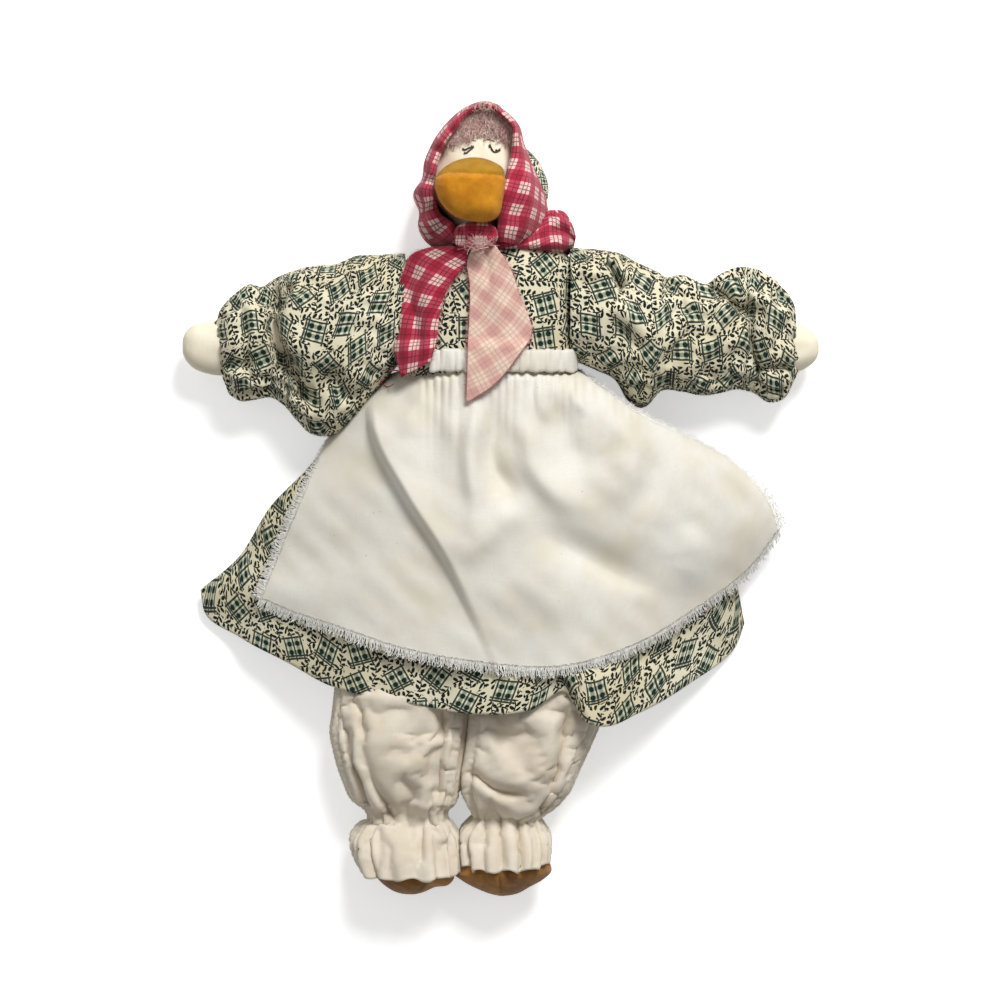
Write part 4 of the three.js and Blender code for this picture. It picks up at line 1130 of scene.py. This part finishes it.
def make_apron_panel():
    x, y, _, _ = patch(
        [(-58, 58.6), (-48, 61), (-34, 62.6), (0, 62.6), (36, 62.6)],
        APRON_HEM,
        [(-58, 58.6), (-70, 50), (-81, 32), (-96, 0), (-116, -48)],
        [(36, 62.6), (47, 53), (71, 38), (86, 31), (114, 15), (130, -3), (134, -15)],
        rows=200,
        columns=320,
    )
    points = grid(x, y, apron_height(x, y))
    obj = thicken(surface("apron_muslin", points, looks["apron_muslin"]), THIN, 1)
    strands = []
    for k, rim in enumerate([points, *side_rims(points)]):
        edge, out = edge_out(rim)
        strands += fray(edge + (0, 0, 0.62), out, length=4.6, spacing=0.3, seed=70 + k, droop=0.3)
    fringe = threads("apron_fray", strands, looks["apron_thread"], 0.24)
    bend(obj, "left_leg", *SKIRT_BEND, "apron_muslin", "apron_panel")
    bend(fringe, "left_leg", *SKIRT_BEND, "apron_muslin")


# Seat of the pantaloons, and feet


def make_seat():
    stations = [
        (31, 46, -45, 46, 2.4, 42, 0.6),
        (33, 24, -47, 24, 2.4, 41, 0.3),
        (34, 6, -48, 6, 2.4, 40, 0.3),
    ]
    points, _ = tube(stations, 24, 90, pleats=22)
    obj = thicken(surface("pantaloon_seat_flannel", points, looks["pantaloon_cotton"], closed=True), FLANNEL)
    ride(obj, "torso", "pantaloon_cotton", "pantaloon_seat", "pantaloon_waist_elastic")


SOLE_TOP = 14.0
# light picks the upper faces that take the lighter suede, painted light on the facets toward the lamp
FEET = {
    "left": {
        "outline": [
            (-64, -176), (-56.3, -185.3), (-49.9, -189), (-44.4, -189.9), (-38, -189), (-31.6, -186.4),
            (-25.2, -185.3), (-22.5, -182), (-24, -177), (-32, -171), (-44, -168), (-57, -171),
        ],
        "centre": (-43, -178),
        "seam": [(-44, -190.5), (-36, -183), (-31, -174)],
        "light": lambda x, y: x > -32 + 0.55 * (y + 178),
    },
    "right": {
        "outline": [
            (-22.5, -180.7), (-17, -184.4), (-10.6, -187.6), (-4.2, -189.9), (1.3, -190.6), (7.6, -189.6),
            (14, -186.2), (20.4, -182.6), (24.3, -178.5), (22.5, -173), (10, -169), (-8, -169), (-20, -174),
        ],
        "centre": (1, -178.5),
        "seam": [(2, -191), (-1, -183), (-1, -172)],
        "light": lambda x, y: x < -1,
    },
}


def make_foot(side):
    keys = FEET[side]
    front, back = pillow(keys["outline"], keys["centre"], 4.5, 32, 1.7, rings=24, columns=90)
    x, y, z = np.moveaxis(front, 2, 0)
    ridge = fold(x, y, keys["seam"], 1.6, 4, 4, (0.05, 0.3))
    z += ridge - fold(x, y, keys["seam"], 0.9, 0.7, 0.7, (0.02, 0.3))
    obj = stuffed(f"{side}_foot_suede", front, back, looks["foot_suede"])
    # The lighter copy is painted light on the upper facets on the lamp's side; the rest keeps the darker
    # copy as painted shade
    obj.data.materials.append(looks["foot_suede_light"])
    for face in obj.data.polygons:
        px, py, pz = face.center / MM
        face.material_index = int(pz > SOLE_TOP and keys["light"](px, py))
    welded(obj)
    nodes = [f"{side}_foot_upper", f"{side}_foot_sole", f"{side}_foot_stuffing"]
    ride(obj, f"{side}_leg", "foot_suede", *nodes)


# Head, face and bill


FACE = {"centre": (-11, 151), "half": (23.5, 32.5), "low": 4, "high": 51, "power": 2.4}


def face_height(x, y):
    cx, cy = FACE["centre"]
    share = np.clip(np.hypot((x - cx) / FACE["half"][0], (y - cy) / FACE["half"][1]), 0, 1)
    middle = (FACE["low"] + FACE["high"]) / 2
    return middle + (FACE["high"] - middle) * (1 - share ** FACE["power"]) ** (1 / FACE["power"])


def make_head():
    turn = np.linspace(0, 2 * math.pi, 24, endpoint=False)
    (cx, cy), (hx, hy) = FACE["centre"], FACE["half"]
    chin = 1 - 0.62 * smooth(-np.sin(turn))
    outline = np.stack([cx + hx * chin * np.cos(turn), cy + hy * np.sin(turn)], axis=1)
    front, back = pillow(outline, (cx, cy), FACE["low"], FACE["high"], FACE["power"])
    front[..., 2] += 0.25 * wrinkles(front[..., 0], front[..., 1], 10, 91)
    obj = welded(stuffed("head_muslin", front, back, looks["muslin"]))
    ride(obj, "head", "muslin", "head_cover", "head_stuffing")


BILL = [
    (-31.4, 147), (-29.5, 153), (-24, 158), (-14, 161), (-5, 159.5), (1.2, 155), (1.8, 150), (0.8, 140),
    (-1.6, 132.5), (-6, 130.3), (-14, 130.6), (-22, 133), (-28.5, 139.5),
]
BILL_SEAM = [(-33, 150.5), (-24, 152.6), (-14, 152.2), (-4, 151.8), (4, 151)]


def make_bill():
    front, back = pillow(BILL, (-14.5, 146), 49, 75, 2.8, rings=30, columns=110)
    x, y, z = np.moveaxis(front, 2, 0)
    z -= 9 * smooth((y - 149) / 14)
    z -= fold(x, y, BILL_SEAM, 1.6, 1.3, 0.9, (0.02, 0.02))
    z += 0.35 * wrinkles(x, y, 9, 95)
    back[..., 2] = np.minimum(back[..., 2], front[..., 2])
    whole = stuffed("lower_bill", front, back, looks["bill_felt"])
    line = chain(BILL_SEAM, 40)
    for name, above in (("upper_bill", True), ("lower_bill", False)):
        part = linked(name + "_felt", whole.data.copy())
        keep_faces(part, lambda c, above=above: (c[1] > np.interp(c[0], line[:, 0], line[:, 1])) == above)
        # The upper piece takes the darker copy of the felt, painted shade
        part.data.materials[0] = looks["bill_felt_upper" if above else "bill_felt"]
        welded(part)
        nodes = (name,) if above else (name, "bill_stuffing")
        ride(part, "head", "bill_felt", *nodes)
    bpy.data.objects.remove(whole)


def keep_faces(obj, wanted):
    """Removes the faces whose middle, in millimetres, isn't wanted."""
    shape = bmesh.new()
    shape.from_mesh(obj.data)
    unwanted = [face for face in shape.faces if not wanted(face.calc_center_median() / MM)]
    bmesh.ops.delete(shape, geom=unwanted, context="FACES")
    shape.to_mesh(obj.data)
    shape.free()


STITCHES = {
    "left_eye_stitch": [
        [(-18.2, 165.8), (-17.2, 165), (-16, 165.6), (-14.6, 166.2), (-12.9, 166.9)],
        [(-17.6, 163.6), (-16.6, 163.5), (-15.4, 164.4), (-13.9, 165.6), (-12.9, 166.4)],
        [(-14.2, 166.9), (-13.4, 166.4), (-12.8, 166.2)],
    ],
    "right_eye_stitch": [
        [(-5.9, 167.2), (-5.1, 166.9), (-4.6, 166.2)],
        [(-5.8, 166.4), (-5.0, 166.3), (-4.4, 165.8)],
        [(-5.4, 167.6), (-4.9, 166.4), (-4.5, 165.4)],
        [(-4.6, 165.6), (-3.4, 164.2), (-1.8, 164.2), (-0.3, 165)],
        [(-2.6, 165.2), (-1.6, 164.8), (-0.4, 165.8)],
    ],
    "left_brow_stitch": [[(-16.6, 168.1), (-15, 169.3), (-13.4, 169.7), (-11.8, 169.3)]],
    "right_brow_stitch": [[(-8.4, 169.2), (-7, 170), (-5, 169.9), (-3, 169.2)]],
}


def make_stitches():
    for name, lines in STITCHES.items():
        radius = 0.55 if "eye" in name else 0.28
        paths = []
        for line in lines:
            plan = chain(line, 14)
            z = face_height(plan[:, 0], plan[:, 1]) + 0.25
            paths.append(np.column_stack([plan, z]))
        ride(threads(name + "_threads", paths, looks["thread"], radius, 6), "head", "thread", name)


# Kerchief


HOOD = [
    # inner x and y, outer x and y, crest
    (-20, 126, -22, 119, 52),
    (-22.5, 130.6, -30.5, 119.8, 52),
    (-26, 133, -36.3, 123.8, 51),
    (-28.8, 135.6, -39.7, 130.6, 51),
    (-31, 141.5, -39.2, 137, 51),
    (-32, 146.5, -42, 146.2, 53),
    (-31, 152, -38, 152.6, 54),
    (-29.2, 160, -36.8, 161, 54),
    (-25.6, 168.4, -32.5, 170.8, 55),
    (-21, 174.4, -25.6, 180.2, 55),
    (-14.5, 182, -14.8, 188.2, 53),
    (-7, 184.5, -6.6, 190, 52),
    (0, 180.5, 2.6, 184.8, 53),
    (5, 175, 9, 178, 55),
    (5, 168, 11, 170.5, 56),
    (4, 160, 14.6, 161.2, 57),
    (1.8, 151.5, 18.6, 151.5, 62),
    (0.2, 142, 22, 141, 63),
    (-1.4, 133.5, 22.5, 134, 61),
    (-2, 126, 19, 126.5, 58),
    (-1.4, 121.5, 11, 119.5, 55),
]
# share from the inner to the outer edge, share on to the back, share of the crest
HOOD_PROFILE = [
    (0.3, 0, 0.3), (0.2, 0, 0.6), (0.06, 0, 0.86), (0.02, 0, 0.95), (0.3, 0, 1.0), (0.62, 0, 0.93),
    (0.88, 0, 0.74), (1.0, 0, 0.5), (0.97, 0, 0.22), (0.8, 0.06, 0.05), (0.5, 0.4, 0.02), (0.5, 1.0, 0.015),
]
HOOD_FOLDS = [
    ([(-40, 133.5), (-34, 136), (-29, 139)], -4, 2.2, 2.2),
    ([(-40, 151), (-35, 151), (-30, 149)], -3.4, 2.2, 2.2),
    ([(-33, 121), (-29, 127), (-24, 130)], -3, 2.4, 2.4),
    ([(-36, 166), (-32, 165), (-27, 163)], -2.2, 2.2, 2.2),
    ([(-27, 178), (-25, 175), (-22, 172)], -1.8, 2, 2),
    ([(8, 172), (8, 156), (7, 138), (4, 124)], -2.2, 3, 3),
    ([(13, 158), (15, 146), (14, 132), (8, 122)], 2.2, 4, 4),
    ([(2, 150), (1.5, 140), (1, 128)], 1.2, 2.5, 2.5),
    ([(18, 148), (19, 138), (15, 126)], -2.0, 3, 3),
]


def make_hood():
    keys = np.asarray(HOOD, float)
    place = run_along(keys[:, 2:4])
    keys = along(keys, place, np.linspace(0, place[-1], 190))
    inner, outer, crest = keys[:, :2], keys[:, 2:4], keys[:, 4]
    back = np.stack([np.full(len(keys), -10.0), np.clip(outer[:, 1] - 6, 122, 178)], axis=1)
    count = len(HOOD_PROFILE)
    shares = along(HOOD_PROFILE, np.arange(count) * 1.0, np.linspace(0, count - 1, 76))
    out, turn, lift = shares.T[:, None, :, None]
    plan = inner[:, None] + (outer - inner)[:, None] * out
    plan = plan + (back[:, None] - plan) * turn
    z = np.maximum(crest[:, None] * lift[..., 0], 0.6)
    x, y = plan[..., 0], plan[..., 1]
    shown = smooth((lift[..., 0] - 0.3) / 0.4)
    z = z + shown * (0.5 * wrinkles(x, y, 15, 101))
    add_folds(x, y, z, HOOD_FOLDS, shown)
    points = grid(x, y, np.maximum(z, 0.6))
    hood = surface("kerchief_hood_check", points, looks["kerchief_check"], middle=20)
    thicken(hood, KERCHIEF)
    bend(hood, "head", *HOOD_BEND, "kerchief_check", "kerchief_hood")


def make_nape():
    """The printed cloth of the nape, that shows behind the kerchief."""
    outline = [(2, 172), (11, 168.5), (16.5, 164), (20.5, 157), (22.8, 149), (22, 143), (12, 140), (2, 150)]
    front, back = pillow(outline, (8, 155), 4, 40, 2.2, rings=16, columns=60)
    obj = welded(stuffed("nape_calico", front, back, looks["calico"]))
    ride(obj, "head", "calico")


def make_wrap():
    """The kerchief's corner that is drawn from the right of the neck to the knot."""
    stations = [
        (-4, 128, -3, 117, 34, 50, 0.6),
        (6, 130.5, 5, 115.5, 30, 49.5, 0.9),
        (15, 133.5, 14, 114.8, 22, 48.5, 1.1),
        (24, 137, 21.5, 113.6, 14, 46, 1.2),
        (30, 136.4, 27, 113.6, 8, 43, 1.2),
        (34.2, 130, 31.4, 117, 8, 37, 1.0),
        (35.8, 125, 34.8, 120.5, 12, 28, 0.7),
    ]
    points, front = tube(stations, 80, 80, pleats=7, fullness=2.1, seed=5)
    x, y, z = np.moveaxis(points, 2, 0)
    folds = [
        ([(-3, 125), (10, 126.5), (22, 132), (30, 136)], -4.0, 2.2, 2.2),
        ([(-3, 121.5), (10, 121.5), (22, 125), (34, 128)], -4.0, 2.4, 2.4),
        ([(-2, 119), (12, 117.6), (26, 117)], -2.4, 1.8, 1.8),
        ([(0, 123), (12, 124), (24, 129)], 1.6, 2.5, 2.5),
    ]
    add_folds(x, y, z, folds, front)
    obj = surface("kerchief_wrap", capped(points), looks["kerchief_check"], closed=True)
    ride(obj, "torso", "kerchief_check")


def make_knot():
    outline = [
        (-22.4, 123), (-21.6, 127.4), (-18, 130), (-12, 130.8), (-5, 130), (-1.4, 126), (-2.4, 121),
        (-8, 118.4), (-16, 118), (-21, 119.5),
    ]
    front, back = pillow(outline, (-12.5, 124), 46, 62, 2.1, rings=22, columns=90)
    x, y, z = np.moveaxis(front, 2, 0)
    folds = [
        ([(-25, 124), (-16, 122.5), (-8, 126)], -2.6, 1.8, 1.8),
        ([(-20, 129), (-17, 122), (-20, 114)], -2.4, 1.6, 1.6),
        ([(-9, 130), (-9, 122), (-11, 113)], -2.4, 1.6, 1.6),
        ([(-3, 127), (-7, 121), (-6, 115)], -1.8, 1.5, 1.5),
    ]
    add_folds(x, y, z, folds)
    z += 0.4 * wrinkles(x, y, 7, 111)
    obj = welded(stuffed("kerchief_knot_wrap", front, back, looks["kerchief_check"]))
    bend(obj, "head", *KNOT_BEND, "kerchief_check", "kerchief_knot")


TAILS = {
    "left_tail": {
        "near": [
            (-27, 119.5), (-35, 118.6), (-41, 116.5), (-47, 105.5), (-51, 90), (-50.4, 72), (-47, 57.6),
        ],
        "far": [(-15, 119), (-16.5, 112), (-20.5, 106), (-25.5, 99), (-29, 87), (-30.6, 75), (-33, 65)],
        "creases": [
            ([(-38, 114), (-43, 100), (-40, 84), (-38, 66)], -2.2, 2.5, 3),
            ([(-32, 112), (-34, 96), (-35, 78), (-38, 64)], 1.6, 3, 3),
            ([(-46, 96), (-46, 80), (-45, 64)], 1.0, 2.5, 2.5),
        ],
        "look": "kerchief_check",
        "bend": ((-34, 118, 52), (-34, 106, 52)),
    },
    "right_tail": {
        "near": [(-12, 122), (-16, 112), (-14.9, 102), (-15.6, 75), (-16.2, 46.4)],
        "far": [(-4.5, 122.4), (4.3, 109), (8.4, 97), (14.2, 77.5), (7.6, 67), (-3.3, 54), (-15.4, 46)],
        "creases": [
            ([(-9, 120), (-6, 110), (-6, 98)], -1.2, 2, 2),
            ([(-4, 108), (0, 90), (2, 72)], 0.9, 5, 5),
        ],
        "look": "kerchief_reverse",
        "bend": ((-9, 115, 56), (-9, 102, 56)),
    },
}


def tail_height(x, y):
    """The bodice and the band, with the room that a tail needs over them."""
    over_chest = chest_height(x, 46.5, 24.4, 25.8) + 4.2 - 2.8 * smooth((y - 71) / 6)
    return np.maximum(over_chest, apron_height(x, np.minimum(y, BAND_FOOT)) + 1.2)


def make_tail(name):
    keys = TAILS[name]
    near, far = chain(keys["near"], 120), chain(keys["far"], 120)
    u = np.linspace(0, 1, 40)[None, :, None]
    plan = near[:, None] * (1 - u) + far[:, None] * u
    x, y = plan[..., 0], plan[..., 1]
    z = np.maximum(tail_height(x, y), 36) + 0.25 * wrinkles(x, y, 14, 121)
    add_folds(x, y, z, keys["creases"])
    points = grid(x, y, z)
    obj = surface(name + "_cloth", points, looks[keys["look"]])
    thicken(obj, KERCHIEF, 1)
    strands = []
    for k, rim in enumerate(side_rims(points)):
        edge, out = edge_out(rim)
        strands += fray(edge[8:], out[8:], length=1.6, spacing=0.55, seed=130 + k, droop=0.2, bow=0.5)
    frayed = threads(name + "_fray", strands, looks["check_thread"], 0.11)
    bend(frayed, name, *keys["bend"], "kerchief_check")
    bend(obj, name, *keys["bend"], keys["look"], name)


KNOT_STRANDS, FRINGE_STRANDS = 90, 1900


def make_loose_threads():
    """The frayed corner of cloth at the knot, and a drawn red thread at the foot of the left tail."""
    dice = np.random.default_rng(151)
    mats = {"fringe_thread": [], "check_thread": []}
    t = np.linspace(0, 1, 7)
    for _ in range(KNOT_STRANDS):
        aim = dice.uniform(0.1 * math.pi, 1.25 * math.pi)
        reach, curl = dice.uniform(2.5, 8), dice.normal(0, 1.8)
        x = -10 + dice.normal(0, 2.6) + reach * t * math.cos(aim) - curl * t * t * math.sin(aim)
        y = 119.5 + dice.normal(0, 1.2) + 0.7 * reach * t * math.sin(aim) + curl * t * t * math.cos(aim)
        z = 60.5 + dice.uniform(0, 1.2) + 2.2 * t * (1 - t) * dice.random() - 0.22 * np.abs(x + 11)
        look = "fringe_thread" if dice.random() < 0.75 else "check_thread"
        mats[look].append(np.column_stack([x, y, z]))
    for look, paths in mats.items():
        ride(threads("knot_" + look, paths, looks[look], 0.14, 3), "torso", "kerchief_reverse")
    plan = chain([(-45, 59), (-50, 61), (-55, 60), (-57.4, 56.4), (-54, 53.4), (-51, 54.6)], 40)
    z = tail_height(plan[:, 0], plan[:, 1]) + np.interp(np.arange(40), [0, 12, 39], [1.0, 2.6, 0.6])
    loop = threads("left_tail_thread", [np.column_stack([plan, z])], looks["red_thread"], 0.42, 6)
    ride(loop, "left_tail", "kerchief_check")


def make_fringe():
    """The frayed edge of the kerchief, matted over the brow, with some of it over the hood's rim."""
    dice = np.random.default_rng(141)
    mats = {"fringe_thread": [], "fringe_thread_dark": [], "check_thread": []}
    t = np.linspace(0, 1, 8)
    for _ in range(FRINGE_STRANDS):
        x = dice.uniform(-26, 6)
        brow, rim = 172.5 - 0.016 * (x + 8) ** 2, 184.5 - 0.036 * (x + 8) ** 2
        over = dice.random() < 0.1 * math.exp(-(((x + 8) / 7) ** 2))
        y = rim + 2.5 if over else brow + max(rim - brow, 2) * dice.beta(1.0, 1.1) + 1.5
        aim, reach = dice.normal(-math.pi / 2, 0.8), dice.uniform(2.5, 6.5)
        curl, sway = dice.normal(0, 1.2), dice.uniform(0, 6)
        px = x + reach * t * math.cos(aim) + curl * np.sin(3.6 * t + sway) * t
        py = y + reach * t * math.sin(aim) + 0.7 * np.cos(4.4 * t + sway)
        keep = np.clip(px, -27, 6.5)
        py = np.minimum(py, 188.0 - 0.04 * (keep + 8) ** 2)
        lift = np.maximum(face_height(keep, np.minimum(py, 180)), 45.5) + dice.uniform(0.2, 3.0)
        lift += np.interp(py, [180, 184, 188], [0, 4.5, 4.0]) * over
        mats[dice.choice(list(mats), p=[0.6, 0.29, 0.11])].append(np.column_stack([keep, py, lift]))
    for look, paths in mats.items():
        nodes = ("kerchief_fringe",) if look == "fringe_thread" else ()
        ride(threads("kerchief_" + look, paths, looks[look], 0.15, 3), "head", "kerchief_reverse", *nodes)


# Stage


FLOOR_REACH, FLOOR_GLOW, WORLD_LIGHT = 3000, 0.5, 0.27
LAMPS = [
    # name, place in metres, size and power
    ("key", (0.45, 1.2, 1.3), 0.6, 31),
    ("fill", (-0.9, 0.2, 1.6), 1.4, 2),
]


def make_stage():
    floor = Look("floor", 0.9, specular=0.1)
    grain = floor.noise(0.02, 3.0)
    paper = floor.finish(floor.mix(grain, (250, 250, 249), (247, 247, 246)), grain, 0.02)
    rays = [f"Is {kind} Ray" for kind in ("Camera", "Glossy", "Transmission")]
    seen = any_of([floor.node("ShaderNodeLightPath", [], ray) for ray in rays]) * FLOOR_GLOW
    floor.tree.links.new(seen.socket, floor.shader.inputs["Emission Strength"])
    floor.shader.inputs["Emission Color"].default_value = (1, 1, 1, 1)
    corners = [(FLOOR_REACH * x, FLOOR_REACH * y, 0) for x, y in ((-1, -1), (1, -1), (1, 1), (-1, 1))]
    sheet = mesh_of("floor", corners, [(0, 1, 2, 3)], [(x, y) for x, y, _ in corners], paper)
    world = bpy.data.worlds.new("studio")
    world.use_nodes = True
    sky = world.node_tree.nodes["Background"]
    sky.inputs["Color"].default_value = (1, 1, 1, 1)
    sky.inputs["Strength"].default_value = WORLD_LIGHT
    bpy.context.scene.world = world
    for name, place, size, power in LAMPS:
        lamp = bpy.data.lights.new(name, "AREA")
        lamp.energy, lamp.size = power, size
        obj = linked(name, lamp)
        obj.location = place
        aim = -obj.location.normalized()
        obj.rotation_euler = aim.to_track_quat("-Z", "Y").to_euler()


def make_camera():
    """Straight down, so that the frame is as wide as the photograph at the middle of the doll."""
    width, far, middle, aside = 0.4775, 2.0, 0.03, -0.0005
    camera = bpy.data.cameras.new("camera")
    camera.lens = camera.sensor_width * far / width
    obj = linked("camera", camera)
    obj.location = (aside, aside, middle + far)
    bpy.context.scene.camera = obj


SIDES = ("left", "right")
make_limb("torso", 40, 48)
make_bodice()
for side in SIDES:
    make_sleeve(side)
for side in SIDES:
    make_limb(f"{side}_arm", 70, 56, fullness=2.1, ripple=0.25)
make_skirt_front()
make_skirt_back()
make_apron_band()
make_apron_panel()
make_seat()
for side in SIDES:
    make_pantaloon(side)
    make_limb(f"{side}_leg", 40, 40)
    make_foot(side)
make_head()
make_bill()
make_stitches()
make_hood()
make_nape()
make_wrap()
make_knot()
for tail in TAILS:
    make_tail(tail)
make_fringe()
make_loose_threads()
make_stage()
make_camera()
bpy.context.scene.view_settings.view_transform = "Standard"
